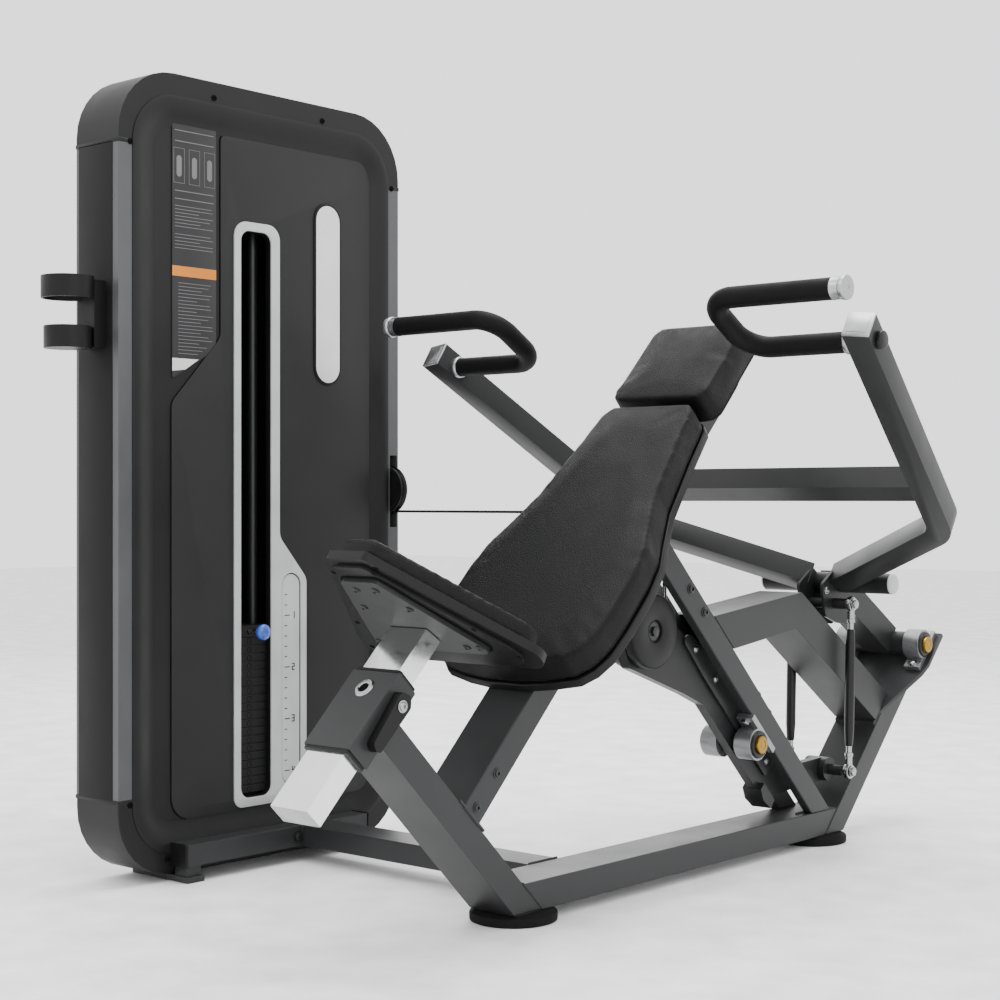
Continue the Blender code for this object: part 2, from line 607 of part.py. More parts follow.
def make_tower_frame():
    outer = rounded(rectangle(TOWER_Y, TOWER_Z), OUTER_RADIUS, 8)
    for name, keep in (("cap_top", (CAP_Z[1], 1.7)), ("cap_bottom", (-0.2, CAP_Z[0]))):
        cap = node(name, prism(SIDE, [outer, tower_outline()], *TOWER_X), "shroud")
        away = (-0.5, keep[0]) if name == "cap_top" else (keep[1], 1.7)
        cut(cap, box((-0.9, -0.6), (-0.4, 0.5), away))
    centre = (TOWER_Y[1] - OUTER_RADIUS, TOWER_Z[1] - OUTER_RADIUS)
    dome = arc(centre, OUTER_RADIUS - 0.0055, 0, 60, 8)
    pocket = [(0.270, 1.340), (0.4065, 1.340)] + dome + [(0.270, 1.4520)]
    cut(bpy.data.objects["cap_top"], prism(SIDE, [pocket], TOWER_MID_X - 0.0305, TOWER_MID_X + 0.0305))
    front, rear = (TOWER_Y[0], OPENING_Y[0]), (OPENING_Y[1], TOWER_Y[1])
    for name, y in (("column_front", front), ("column_rear", rear)):
        z = CAP_Z[0] + GAP, CAP_Z[1] - GAP
        column = node(name, box(TOWER_X, y, z), "column_paint")
        wall = COLUMN_WALL
        cut(column, box((TOWER_X[0] + wall, TOWER_X[1] - wall), (y[0] + wall, y[1] - wall), (-0.1, 1.6)))
    rear = bpy.data.objects["column_rear"]
    cut(rear, box((TOWER_X[1] - 0.02, TOWER_X[1] + 0.02), (0.3880, 0.4085), (0.650, 0.800)),
        box((TOWER_MID_X - 0.013, TOWER_MID_X + 0.013), (0.360, 0.390), (1.310, 1.400)),
        cylinder(ACROSS, SIDE_PULLEY_Z, TOWER_MID_X + SIDE_PULLEY_RADIUS, 0.0063, 0.3, 0.5, 16))


def slot_outline():
    return rounded(rectangle(SLOT_Y, SLOT_Z), 0.020, 4)


def make_shrouds():
    edge = tower_outline(0.0005)
    node("shroud_user_side", prism(SIDE, [edge, slot_outline()], *SHROUD_X), "shroud")
    node("shroud_wall_side", prism(SIDE, [edge], TOWER_X[0] + 0.0125, TOWER_X[0] + 0.0165), "shroud")
    front = SHROUD_X[1] + GAP
    bezel = [(-0.029, 0.112, 0.02), (0.158, 0.112, 0.03), (0.158, 0.551, 0.03), (0.087, 0.634, 0.03),
             (0.087, 1.246, 0.03), (-0.029, 1.246, 0.03)]
    rim = prism(SIDE, [rounded(bezel, 0.03, 5), slot_outline()], front, front + 0.004)
    node("slot_bezel", rim, "bezel")
    plate = rounded(rectangle((0.181, 0.253), (0.940, 1.306)), 0.0355, 6)
    node("name_plate", prism(SIDE, [plate], front, front + 0.003), "plate_white")
    card = [(-0.177, 0.935), (-0.170, 0.935), (-0.072, 0.995), (-0.072, 1.410), (-0.177, 1.410)]
    card = rounded(card, 0.002, 2)
    node("exercise_card", prism(SIDE, [card], front, front + 0.0015), "plate_white")


def make_stack():
    """Block of weight plates, each edge set off by a groove, bored for the guide rods and the stem."""
    outline = []
    half, groove = STACK_HALF[0], PLATE_GROOVE
    for i in range(PLATE_COUNT):
        low = STACK_LOW + i * PLATE_PITCH
        high = low + PLATE_PITCH
        outline += [(low, half - groove), (low + groove, half), (high - groove, half)]
    outline.append((STACK_LOW + PLATE_COUNT * PLATE_PITCH, half - groove))
    other = [(z, -x) for z, x in reversed(outline)]
    loop = [(z, TOWER_MID_X + x) for z, x in outline + other]
    y = STACK_Y - STACK_HALF[1], STACK_Y + STACK_HALF[1]
    stack = node("weight_stack", prism(ACROSS, [loop], *y), "iron")
    guide = GUIDE_RADIUS + 0.001
    for dy, radius in ((-ROD_SPREAD, guide), (0.0, 0.0135), (ROD_SPREAD, guide)):
        bore = cylinder(PLAN, TOWER_MID_X, STACK_Y + dy, radius, 0.1, 0.5, 16)
        combine(stack, bore, "DIFFERENCE", "MANIFOLD")   # EXACT loses the bore's wall in the grooved block

    cushion = node("stack_cushion", box((TOWER_MID_X - 0.036, TOWER_MID_X + 0.036),
                                        (STACK_Y - 0.110, STACK_Y + 0.110),
                                        (OPENING_Z[0] + GAP, STACK_LOW - GAP)), "rubber")
    for name, dy in (("guide_rod_front", -ROD_SPREAD), ("guide_rod_rear", ROD_SPREAD)):
        y = STACK_Y + dy
        cut(cushion, cylinder(PLAN, TOWER_MID_X, y, GUIDE_RADIUS + 0.0005, 0.0, 0.2, 20))
        bar = cylinder(PLAN, TOWER_MID_X, y, GUIDE_RADIUS, OPENING_Z[0] + GAP, 1.300 - GAP, 20)
        node(name, bar, "chrome")

    low = STACK_LOW + PLATE_COUNT * PLATE_PITCH + GAP
    x = TOWER_MID_X - STACK_HALF[0], TOWER_MID_X + STACK_HALF[0]
    y = STACK_Y - STACK_HALF[1], STACK_Y + STACK_HALF[1]
    head = node("head_plate", box(x, y, (low, 0.462)), "iron", STACK_LIFT)
    join(head, cylinder(PLAN, TOWER_MID_X, STACK_Y, 0.0125, 0.150, 0.490, 20))
    for dy in (-ROD_SPREAD, ROD_SPREAD):
        cut(head, cylinder(PLAN, TOWER_MID_X, STACK_Y + dy, GUIDE_RADIUS + 0.001, 0.3, 0.6, 20))
    pin_frame = plane((0, 1, 0), (0, 0, 1), (0, STACK_Y, PIN_Z))
    cut(head, cylinder(pin_frame, 0, 0, 0.0056, TOWER_MID_X - 0.02, -0.6, 16))
    pin = node("selector_pin", cylinder(pin_frame, 0, 0, 0.0050, TOWER_MID_X - 0.018, -0.664, 16),
               "knob_blue", PIN_SLIDE)
    join(pin, cylinder(pin_frame, 0, 0, 0.0155, -0.676, -0.650, 24))


def grooved(radius, half, axle, axle_low, axle_high, frame, name, pivot):
    """Pulley with a cable groove, on an axle that runs from axle_low to axle_high."""
    rim, floor = radius + 0.005, radius - CABLE_RADIUS - GAP
    profile = [(axle - 0.002, -half), (rim, -half), (rim, -half + 0.002), (floor, -0.0025), (floor, 0.0025),
               (rim, half - 0.002), (rim, half), (axle - 0.002, half)]
    pulley = node(name, turned(frame, profile, 24), "pulley_plastic", pivot)
    join(pulley, cylinder(frame, 0, 0, axle, axle_low, axle_high, 16))


def make_pulleys():
    y = -0.045, 0.3705
    shell = [rectangle((1.300, 1.4497), (TOWER_MID_X - 0.030, TOWER_MID_X + 0.030)),
             rectangle((1.312, 1.4397), (TOWER_MID_X - 0.025, TOWER_MID_X + 0.025))]
    carrier = node("tower_pulley_frame", prism(ACROSS, shell, *y), "frame_paint")
    cut(carrier, cylinder(PLAN, TOWER_MID_X, STACK_Y, 0.008, 1.28, 1.33, 16))
    for name, centre, pivot in (("top_pulley_front", STACK_Y + TOP_PULLEY_RADIUS, TOP_PULLEY_FRONT),
                                ("top_pulley_rear", DROP_Y - TOP_PULLEY_RADIUS, TOP_PULLEY_REAR)):
        cut(carrier, cylinder(SIDE, centre, TOP_PULLEY_Z, 0.0063, -0.8, -0.7, 16))
        frame = plane((0, 1, 0), (0, 0, 1), (TOWER_MID_X, centre, TOP_PULLEY_Z))
        grooved(TOP_PULLEY_RADIUS, 0.010, 0.006, -0.0295, 0.0295, frame, name, pivot)
    frame = plane((0, 0, 1), (1, 0, 0), (TOWER_MID_X + SIDE_PULLEY_RADIUS, DROP_Y, SIDE_PULLEY_Z))
    grooved(SIDE_PULLEY_RADIUS, 0.009, 0.006, -0.0260, 0.0130, frame, "side_pulley", SIDE_PULLEY)
    frame = plane((0, 0, 1), (1, 0, 0), (-BACK_PULLEY_RADIUS, BACK_PULLEY_Y, RUN_Z - BACK_PULLEY_RADIUS))
    grooved(BACK_PULLEY_RADIUS, 0.010, 0.006, -0.0130, 0.0200, frame, "back_pulley", BACK_PULLEY)

    rear = BACK_PULLEY_Y + 0.0125
    spine = SPINE_N[0] * 2 ** 0.5 - GAP
    outline = [(0.4095, 0.700), (rear, 0.700), (rear, 0.612), (rear + 0.006, 0.612),
               (rear + 0.006, rear + 0.006 + spine), (0.4095, 0.4095 + spine)]
    bracket = node("back_pulley_bracket", prism(SIDE, [outline], -0.072, -0.012), "frame_paint")
    cut(bracket, cylinder(ACROSS, RUN_Z - BACK_PULLEY_RADIUS, -BACK_PULLEY_RADIUS, 0.0063, 0.43, 0.46, 16))


def make_cables():
    """Static run over the pulleys, and the two stretches whose length changes as the arms move."""
    x, top = TOWER_MID_X, TOP_PULLEY_Z
    start, drop, r = STACK_Y, DROP_Y, TOP_PULLEY_RADIUS
    side, back = SIDE_PULLEY_RADIUS, BACK_PULLEY_RADIUS
    path = [(x, start, top + 2 * GAP)]
    path += [(x, u, v) for u, v in arc((start + r, top), r, 165, 90, 5)]
    path += [(x, u, v) for u, v in arc((drop - r, top), r, 90, 0, 6)]
    path += [(u, drop, v) for u, v in arc((x + side, SIDE_PULLEY_Z), side, 180, 270, 6)]
    over = arc((-back, RUN_Z - back), back, 90, 0, 6)
    path += [(u, BACK_PULLEY_Y, v) for u, v in over[:-1]]
    path.append((over[-1][0], BACK_PULLEY_Y, over[-1][1] + 2 * GAP))
    node("cable_run", sweep(path, CABLE_RADIUS, sides=1), "cable")
    node("cable_stack", cylinder(PLAN, x, start, CABLE_RADIUS, 0.490 + GAP, top, 12), "cable", STACK_LIFT)
    node("cable_lever", cylinder(PLAN, 0, BACK_PULLEY_Y, CABLE_RADIUS, LEVER_CABLE_LOW,
                                 RUN_Z - back, 12), "cable", LEVER_AXIS)


def make_tower_base():
    x, y, z = (-0.6767, -0.632), (-0.185, 0.277), (0.030, 0.070)
    tube = node("tower_base_tube", box(x, y, z), "frame_paint")
    for low, high in ((-0.187, -0.147), (0.239, 0.279)):
        join(tube, box((-0.795, -0.630), (low, high), (0.0, 0.0113)),
             box((-0.672, -0.637), (low + 0.003, high - 0.003), (0.006, 0.0315)))
    wall = TUBE_WALL
    cut(tube, box((x[0] + wall, x[1] - wall), (-0.3, 0.4), (z[0] + wall, z[1] - wall)))
    tube = node("cross_tube", box((-0.632 + GAP, -TUBE_HALF_WIDTH - GAP), (0.098, 0.177), z), "frame_paint")
    cut(tube, box((-0.7, 0.0), (0.098 + wall, 0.177 - wall), (z[0] + wall, z[1] - wall)))


def make_bottle_holder():
    centre = Matrix.Translation((-0.740, -0.373, 0))
    ring = [(0.0435, 1.070), (0.0475, 1.070), (0.0475, 1.110), (0.0435, 1.110)]
    holder = node("bottle_holder", turned(centre, ring, 24), "shell_plastic")
    join(holder, box((-0.765, -0.715), (-0.3330, TOWER_Y[0] - GAP), (0.983, 1.106)))
    floor = cylinder(PLAN, -0.740, -0.373, 0.0425, 0.980, 1.020, 24)
    join(holder, floor)
    cut(holder, cylinder(PLAN, -0.740, -0.373, 0.0385, 0.984, 1.20, 24))


# ---------------------------------------------------------------- build
clear_scene()
PARTS = collection("shoulder_press_machine")
CUTTERS = collection("cutters")
MACHINE = empty("machine", [-value for value in FRAME_CENTRE])
SHADES = make_materials()

ARM_AXIS = empty("arm_axis", (0, *ARM_PIVOT), MACHINE)
ROD_AXIS = empty("rod_axis", (0, *ROD_TOP), MACHINE)
LEVER_AXIS = empty("lever_axis", (0, *LEVER_PIVOT), MACHINE)
SEAT_SLIDE = empty("seat_slide", (0, *slope_point(0.0, sum(SEAT_TUBE_N) / 2)), MACHINE)
LATCH_PIVOT = empty("latch_pivot", (0.058, *slope_point(0.040, 0.514)), MACHINE)
STACK_LIFT = empty("stack_lift", (TOWER_MID_X, STACK_Y, 0.450), MACHINE)
PIN_SLIDE = empty("pin_slide", (TOWER_MID_X, STACK_Y, PIN_Z), MACHINE)
TOP_PULLEY_FRONT = empty("top_pulley_front_axis",
                         (TOWER_MID_X, STACK_Y + TOP_PULLEY_RADIUS, TOP_PULLEY_Z), MACHINE)
TOP_PULLEY_REAR = empty("top_pulley_rear_axis",
                        (TOWER_MID_X, DROP_Y - TOP_PULLEY_RADIUS, TOP_PULLEY_Z), MACHINE)
SIDE_PULLEY = empty("side_pulley_axis",
                    (TOWER_MID_X + SIDE_PULLEY_RADIUS, DROP_Y, SIDE_PULLEY_Z), MACHINE)
BACK_PULLEY = empty("back_pulley_axis",
                    (-BACK_PULLEY_RADIUS, BACK_PULLEY_Y, RUN_Z - BACK_PULLEY_RADIUS), MACHINE)

make_base()
make_leaning_frame()
make_rear_frame()
make_bearings()
make_seat()
make_back()
make_arms()
make_arm_hinge()
make_grips()
make_lever()
make_rods()
make_tower_frame()
make_shrouds()
make_stack()
make_pulleys()
make_cables()
make_tower_base()
make_bottle_holder()
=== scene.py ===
"""Looks of the shoulder press machine: cushions, grips, caps, bolts, card, materials, light and camera."""
import random
from math import atan2, cos, radians, sin

import bmesh
import bpy
from mathutils import Matrix, Vector
from mathutils.bvhtree import BVHTree


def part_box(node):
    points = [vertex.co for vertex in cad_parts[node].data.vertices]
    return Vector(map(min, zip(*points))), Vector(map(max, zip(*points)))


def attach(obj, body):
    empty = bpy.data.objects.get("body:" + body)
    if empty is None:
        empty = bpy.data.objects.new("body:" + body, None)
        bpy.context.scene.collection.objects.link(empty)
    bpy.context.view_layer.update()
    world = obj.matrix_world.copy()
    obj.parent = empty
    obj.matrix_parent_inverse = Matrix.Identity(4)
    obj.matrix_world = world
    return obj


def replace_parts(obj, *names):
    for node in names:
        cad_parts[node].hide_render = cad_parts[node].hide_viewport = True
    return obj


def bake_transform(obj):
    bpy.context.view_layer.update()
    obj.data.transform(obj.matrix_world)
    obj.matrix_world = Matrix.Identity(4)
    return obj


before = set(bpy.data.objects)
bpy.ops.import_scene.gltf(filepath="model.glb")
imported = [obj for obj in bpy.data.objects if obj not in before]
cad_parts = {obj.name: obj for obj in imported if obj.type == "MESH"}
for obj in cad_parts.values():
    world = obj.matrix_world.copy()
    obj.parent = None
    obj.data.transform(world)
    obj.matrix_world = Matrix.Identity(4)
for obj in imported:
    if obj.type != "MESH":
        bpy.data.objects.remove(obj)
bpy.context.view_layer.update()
random.seed(7)

# The design frame has x = 0 on the seat's mid-plane and y = 0 under the front foot's centre.
FOOT_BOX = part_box("foot_front")
ORIGIN = Vector(((FOOT_BOX[0].x + FOOT_BOX[1].x) / 2, (FOOT_BOX[0].y + FOOT_BOX[1].y) / 2, 0.0))

SEAT_FRONT, SEAT_REAR = (-0.38, 0.624), (-0.13, 0.459)
ARM_WIDTH = 0.047
ARM_END = Vector((0.4785, 0.316, 0.994))
ARM_BEND = Vector((0.366, 0.827, 0.66))
GRIP_RADIUS = 0.0185
GRIP_LOW, GRIP_HIGH = (0.349, 0.971), (0.222, 1.046)
GRIP_INNER_X, GRIP_OUTER_X = 0.241, 0.511
HINGE_TUBE = (1.016, 0.534)
ROD_TOP, ROD_BOTTOM, ROD_X = (0.988, 0.491), (0.978, 0.146), 0.0705
ARM_PIVOT, LEVER_PIVOT = (1.245, 0.394), (0.66, 0.232)
DISC_CENTRE = (0.357, 0.467)
TOWER_FACE, WALL_FACE = -0.677, -0.804
OPENING_Y, OPENING_Z, OPENING_RADIUS = (-0.268, 0.372), (0.06, 1.45), 0.09
PANEL_X = -0.69
SLOT_Y, SLOT_Z = (-0.012, 0.064), (0.13, 1.228)
STACK_X, STACK_Y, STACK_BASE, PLATE_PITCH, PLATES = -0.7405, 0.0195, 0.135, 0.016, 19
CABLE_Y = 0.43
SIDES = (("left", -1), ("right", 1))
BEAD_PITCH = 0.0011
CLOTH_FRAMES = 20


# ---------------------------------------------------------------- drawing planes
def plane(u, v, origin=(0.0, 0.0, 0.0)):
    """Drawing plane in the design frame: its u, v directions, and w = u x v."""
    u, v = Vector(u).normalized(), Vector(v).normalized()
    turn = Matrix((u, v, u.cross(v))).transposed().to_4x4()
    return Matrix.Translation(ORIGIN + Vector(origin)) @ turn


def axis_frame(place, direction):
    """Plane at a design point whose w axis is the direction."""
    w = Vector(direction).normalized()
    u = w.orthogonal().normalized() if abs(w.x) < 0.99 else Vector((0, 1, 0))
    return plane(u, w.cross(u), place)


SIDE = plane((0, 1, 0), (0, 0, 1))
SLOPE = plane((0, 1, 1), (0, -1, 1))
BACK = plane((1, 0, 0), (0, 1, 1))
UP_REAR, UP_FRONT = Vector((0, 1, 1)).normalized(), Vector((0, -1, 1)).normalized()


def slope_point(x, s, n):
    return Vector((x, (s - n) / 2 ** 0.5, (s + n) / 2 ** 0.5))


# ---------------------------------------------------------------- materials
class Nodes:
    """Short calls for building a material's node tree."""

    def __init__(self, name):
        self.material = bpy.data.materials.new(name)
        self.material.use_nodes = True
        self.tree = self.material.node_tree
        self.shader = self.tree.nodes["Principled BSDF"]
        self.place = self.add("ShaderNodeTexCoord").outputs["Object"]

    def add(self, kind, **values):
        made = self.tree.nodes.new(kind)
        for key, value in values.items():
            if key.startswith("in_"):
                made.inputs[key[3:].replace("_", " ").title()].default_value = value
            else:
                setattr(made, key, value)
        return made

    def link(self, source, target):
        self.tree.links.new(source, target)

    def noise(self, scale, detail=2.0, stretch=None):
        made = self.add("ShaderNodeTexNoise", in_scale=scale, in_detail=detail)
        if stretch:
            mapping = self.add("ShaderNodeMapping")
            mapping.inputs["Scale"].default_value = stretch
            self.link(self.place, mapping.inputs["Vector"])
            self.link(mapping.outputs["Vector"], made.inputs["Vector"])
        else:
            self.link(self.place, made.inputs["Vector"])
        return made.outputs["Fac"]

    def ramp(self, source, low, high, dark, light):
        """Colour that runs from dark to light as the source runs from low to high."""
        made = self.add("ShaderNodeValToRGB")
        first, last = made.color_ramp.elements
        first.position, last.position = low, high
        first.color, last.color = (*dark, 1.0), (*light, 1.0)
        self.link(source, made.inputs["Fac"])
        return made.outputs["Color"]

    def spread(self, source, low, high):
        """Value that runs from low to high as the source runs from 0.3 to 0.7."""
        made = self.add("ShaderNodeMapRange")
        made.inputs["From Min"].default_value, made.inputs["From Max"].default_value = 0.3, 0.7
        made.inputs["To Min"].default_value, made.inputs["To Max"].default_value = low, high
        self.link(source, made.inputs["Value"])
        return made.outputs["Result"]

    def bump(self, height, strength, distance, below=None):
        made = self.add("ShaderNodeBump")
        made.inputs["Strength"].default_value = strength
        made.inputs["Distance"].default_value = distance
        self.link(height, made.inputs["Height"])
        if below is not None:
            self.link(below, made.inputs["Normal"])
        return made.outputs["Normal"]


def shade(colour, amount):
    return tuple(min(1.0, c * amount) for c in colour)


def paint(name, colour, roughness, grain=420.0, relief=0.12, metallic=0.0, coat=0.0, shine=0.32):
    """Powder coat or moulded plastic: mottled colour, fine grain relief, uneven gloss."""
    n = Nodes(name)
    broad = n.noise(9.0, 4.0)
    fine = n.noise(grain, 3.0)
    n.link(n.ramp(broad, 0.3, 0.7, shade(colour, 0.9), shade(colour, 1.1)), n.shader.inputs["Base Color"])
    n.link(n.spread(broad, roughness - 0.05, roughness + 0.06), n.shader.inputs["Roughness"])
    n.link(n.bump(fine, relief, 0.0006), n.shader.inputs["Normal"])
    n.shader.inputs["Metallic"].default_value = metallic
    n.shader.inputs["Specular IOR Level"].default_value = shine
    n.shader.inputs["Coat Weight"].default_value = coat
    n.shader.inputs["Coat Roughness"].default_value = 0.25
    return n.material


def metal(name, colour, roughness, stretch=(1, 1, 1), relief=0.04, metallic=1.0):
    """Plated, cast or brushed metal, with the brushing along the axis left short in stretch."""
    n = Nodes(name)
    brushed = n.noise(160.0, 4.0, stretch)
    broad = n.noise(14.0, 3.0)
    n.link(n.ramp(broad, 0.3, 0.7, shade(colour, 0.93), shade(colour, 1.04)), n.shader.inputs["Base Color"])
    n.link(n.spread(brushed, roughness * 0.8, roughness * 1.3), n.shader.inputs["Roughness"])
    n.link(n.bump(brushed, relief, 0.0004), n.shader.inputs["Normal"])
    n.shader.inputs["Metallic"].default_value = metallic
    return n.material


def vinyl(name, colour, roughness=0.5, grain=560.0):
    """Upholstery vinyl: a field of small raised pebbles over soft broad creases, with painted highlight on
    the pebble tops and painted shade between them and in the crease hollows.
    """
    n = Nodes(name)
    pebbles = n.add("ShaderNodeTexVoronoi", in_scale=grain)
    pebbles.feature = "SMOOTH_F1"
    n.link(n.place, pebbles.inputs["Vector"])
    broad = n.noise(22.0, 5.0)
    # Painted highlight and shade: pebble tops lighter, the gaps between them darker.
    pebble_highlight_and_shade = n.ramp(pebbles.outputs["Distance"], 0.15, 0.75, shade(colour, 1.5), shade(colour, 0.55))
    # Broad mottling from the same noise as the creases, so the crease hollows come out darker: painted shade.
    blend = n.add("ShaderNodeMixRGB", blend_type="MULTIPLY")
    blend.inputs["Fac"].default_value = 0.5
    n.link(pebble_highlight_and_shade, blend.inputs["Color1"])
    n.link(n.ramp(broad, 0.3, 0.7, (0.8, 0.8, 0.8), (1.0, 1.0, 1.0)), blend.inputs["Color2"])
    n.link(blend.outputs["Color"], n.shader.inputs["Base Color"])
    n.link(n.spread(broad, roughness - 0.05, roughness + 0.07), n.shader.inputs["Roughness"])
    creases = n.bump(broad, 0.12, 0.004)
    turned_over = n.add("ShaderNodeMath", operation="SUBTRACT")
    turned_over.inputs[0].default_value = 1.0
    n.link(pebbles.outputs["Distance"], turned_over.inputs[1])
    n.link(n.bump(turned_over.outputs["Value"], 0.9, 0.001, creases), n.shader.inputs["Normal"])
    n.shader.inputs["Specular IOR Level"].default_value = 0.15
    return n.material


def foam(name, colour, roughness):
    """Closed-cell foam rubber: dense fine pores, painted darker in their hollows and lighter on the raised
    cells as painted shade and highlight, and slight mottling.
    """
    n = Nodes(name)
    pores, broad = n.noise(900.0, 6.0), n.noise(30.0, 3.0)
    # Painted shade and highlight: the same noise makes the pore hollows darker and the raised cells lighter.
    n.link(n.ramp(pores, 0.35, 0.65, shade(colour, 0.6), shade(colour, 1.5)), n.shader.inputs["Base Color"])
    n.link(n.spread(broad, roughness - 0.08, roughness + 0.05), n.shader.inputs["Roughness"])
    n.link(n.bump(pores, 0.4, 0.0006), n.shader.inputs["Normal"])
    n.shader.inputs["Specular IOR Level"].default_value = 0.13
    return n.material


# Name: colour, roughness, grain, relief, metallic, coat, shine.
PAINTS = {
    "frame_paint": ((0.026, 0.0265, 0.0275), 0.4, 520.0, 0.1, 0.2, 0.0, 0.26),
    "arm_paint": ((0.017, 0.0173, 0.018), 0.38, 520.0, 0.1, 0.2, 0.0, 0.24),
    "shroud_plastic": ((0.009, 0.009, 0.0095), 0.44, 1100.0, 0.16, 0.0, 0.0, 0.2),
    "panel_plastic": ((0.0125, 0.0125, 0.013), 0.5, 1300.0, 0.2, 0.0, 0.0, 0.24),
    "column_paint": ((0.074, 0.0755, 0.078), 0.4, 520.0, 0.08, 0.3),
    # Darker copy of the shroud plastic for the columns' front and rear faces: the real dark plastic, made
    # darker still as painted shade.
    "column_dark_and_painted_shade": ((0.007, 0.007, 0.0075), 0.5, 700.0, 0.12, 0.0, 0.0, 0.12),
    "grey_plastic": ((0.42, 0.425, 0.43), 0.36, 900.0, 0.06, 0.1, 0.2, 0.5),
    "moulded_black": ((0.0055, 0.0055, 0.006), 0.42, 800.0, 0.22, 0.0, 0.0, 0.18),
    "cast_black": ((0.0065, 0.0065, 0.007), 0.48, 300.0, 0.25, 0.1, 0.0, 0.22),
    "rod_black": ((0.005, 0.005, 0.0055), 0.34, 600.0, 0.06, 0.0, 0.0, 0.28),
    "bracket_grey": ((0.022, 0.0225, 0.023), 0.42, 500.0, 0.1, 0.3),
    "pulley_plastic": ((0.006, 0.006, 0.0065), 0.36, 500.0, 0.06, 0.0, 0.0, 0.25),
    "knob_blue": ((0.012, 0.065, 0.38), 0.25, 300.0, 0.03, 0.0, 0.6, 0.5),
    "cable_jacket": ((0.008, 0.008, 0.0085), 0.35, 900.0, 0.1),
    "card_dark": ((0.018, 0.0175, 0.019), 0.4, 900.0, 0.02, 0.0, 0.0, 0.3),
    "card_ink": ((0.13, 0.13, 0.13), 0.5, 900.0, 0.02),
    "card_white": ((0.62, 0.62, 0.6), 0.4, 900.0, 0.02),
    "card_orange": ((0.6, 0.19, 0.012), 0.4, 900.0, 0.02),
    # Near-black matte: the black of the printed scale marks and small screws, and painted shade in grooves,
    # gaps and holes.
    "black_and_painted_shade": ((0.002, 0.002, 0.002), 0.9, 300.0, 0.1, 0.0, 0.0, 0.1),
}
# Name: colour, roughness, stretch, relief, metallic.
METALS = {
    "white_plastic": ((0.66, 0.66, 0.67), 0.34, (1, 12, 0.6), 0.03, 0.35),
    "chrome": ((0.8, 0.805, 0.81), 0.16, (1, 1, 1), 0.006),
    "brushed": ((0.42, 0.425, 0.435), 0.32, (18, 1, 1), 0.04),
    "cast_silver": ((0.27, 0.275, 0.28), 0.34, (1, 1, 1), 0.12, 0.85),
    "steel": ((0.36, 0.365, 0.37), 0.24, (1, 1, 1), 0.02),
    "dark_steel": ((0.035, 0.036, 0.037), 0.36, (1, 1, 1), 0.05, 0.7),
    "gold": ((0.34, 0.205, 0.035), 0.34, (1, 1, 1), 0.06),
}
# Name: colour, roughness.
FOAMS = {
    "rubber": ((0.005, 0.005, 0.0055), 0.8),
    "grip_foam": ((0.0022, 0.0022, 0.0024), 0.62),
}
MATERIAL = {name: paint(name, *values) for name, values in PAINTS.items()}
MATERIAL |= {name: metal(name, *values) for name, values in METALS.items()}
MATERIAL |= {name: foam(name, *values) for name, values in FOAMS.items()}
MATERIAL["vinyl"] = vinyl("vinyl", (0.0024, 0.0024, 0.0026))


# ---------------------------------------------------------------- shapes
def clean(mesh):
    edit = bmesh.new()
    edit.from_mesh(mesh)
    bmesh.ops.remove_doubles(edit, verts=edit.verts, dist=0.000005)
    bmesh.ops.recalc_face_normals(edit, faces=edit.faces)
    edit.to_mesh(mesh)
    edit.free()


def linked(name, data):
    """New object, put in the scene."""
    made = bpy.data.objects.new(name, data)
    bpy.context.scene.collection.objects.link(made)
    return made


def solid_from(source, matrix=Matrix.Identity(4)):
    """Mesh object from curve data, or from an object's evaluated mesh."""
    scratch = source if isinstance(source, bpy.types.Object) else bpy.data.objects.new("scratch", source)
    if not scratch.users_collection:
        bpy.context.scene.collection.objects.link(scratch)
    bpy.context.view_layer.update()
    mesh = bpy.data.meshes.new_from_object(scratch.evaluated_get(bpy.context.evaluated_depsgraph_get()))
    bpy.data.objects.remove(scratch)
    mesh.transform(matrix)
    clean(mesh)
    return linked("solid", mesh)


def prism(matrix, loops, low, high, bevel=0.0, segments=2):
    """Thickened flat outline; bevel rounds its rims."""
    curve = bpy.data.curves.new("outline", "CURVE")
    curve.dimensions = "2D"
    curve.fill_mode = "BOTH"
    curve.extrude = (high - low) / 2
    for loop in loops:
        spline = curve.splines.new("POLY")
        spline.points.add(len(loop) - 1)
        for point, (u, v) in zip(spline.points, loop):
            point.co = (u, v, 0.0, 1.0)
        spline.use_cyclic_u = True
    made = solid_from(curve, matrix @ Matrix.Translation((0, 0, (low + high) / 2)))
    return soften(made, bevel, segments) if bevel else made


def turned(matrix, profile, steps=48):
    """Body turned about w from (radius, w) points; a profile that ends on the axis is closed there."""
    mesh = bpy.data.meshes.new("profile")
    closed = profile[0][0] > 0.00001 and profile[-1][0] > 0.00001
    count = len(profile)
    edges = [(i, (i + 1) % count) for i in range(count if closed else count - 1)]
    mesh.from_pydata([(r, 0.0, w) for r, w in profile], edges, [])
    ring = bpy.data.objects.new("ring", mesh)
    screw = ring.modifiers.new("turn", "SCREW")
    screw.steps = screw.render_steps = steps
    screw.use_merge_vertices = True
    screw.merge_threshold = 0.00001
    return solid_from(ring, matrix)


def tube(places, radius, sides, swell=None, closed=False):
    """Round bar through world points; swell scales the radius point by point."""
    curve = bpy.data.curves.new("path", "CURVE")
    curve.dimensions = "3D"
    curve.bevel_depth = radius
    curve.bevel_resolution = sides
    curve.use_fill_caps = not closed
    spline = curve.splines.new("POLY")
    spline.points.add(len(places) - 1)
    for k, (knot, place) in enumerate(zip(spline.points, places)):
        knot.co = (*place, 1.0)
        if swell:
            knot.radius = swell[k]
    spline.use_cyclic_u = closed
    return solid_from(curve)


def rod(points, radius, sides=6):
    """Round bar through design points."""
    return tube([ORIGIN + Vector(point) for point in points], radius, sides)


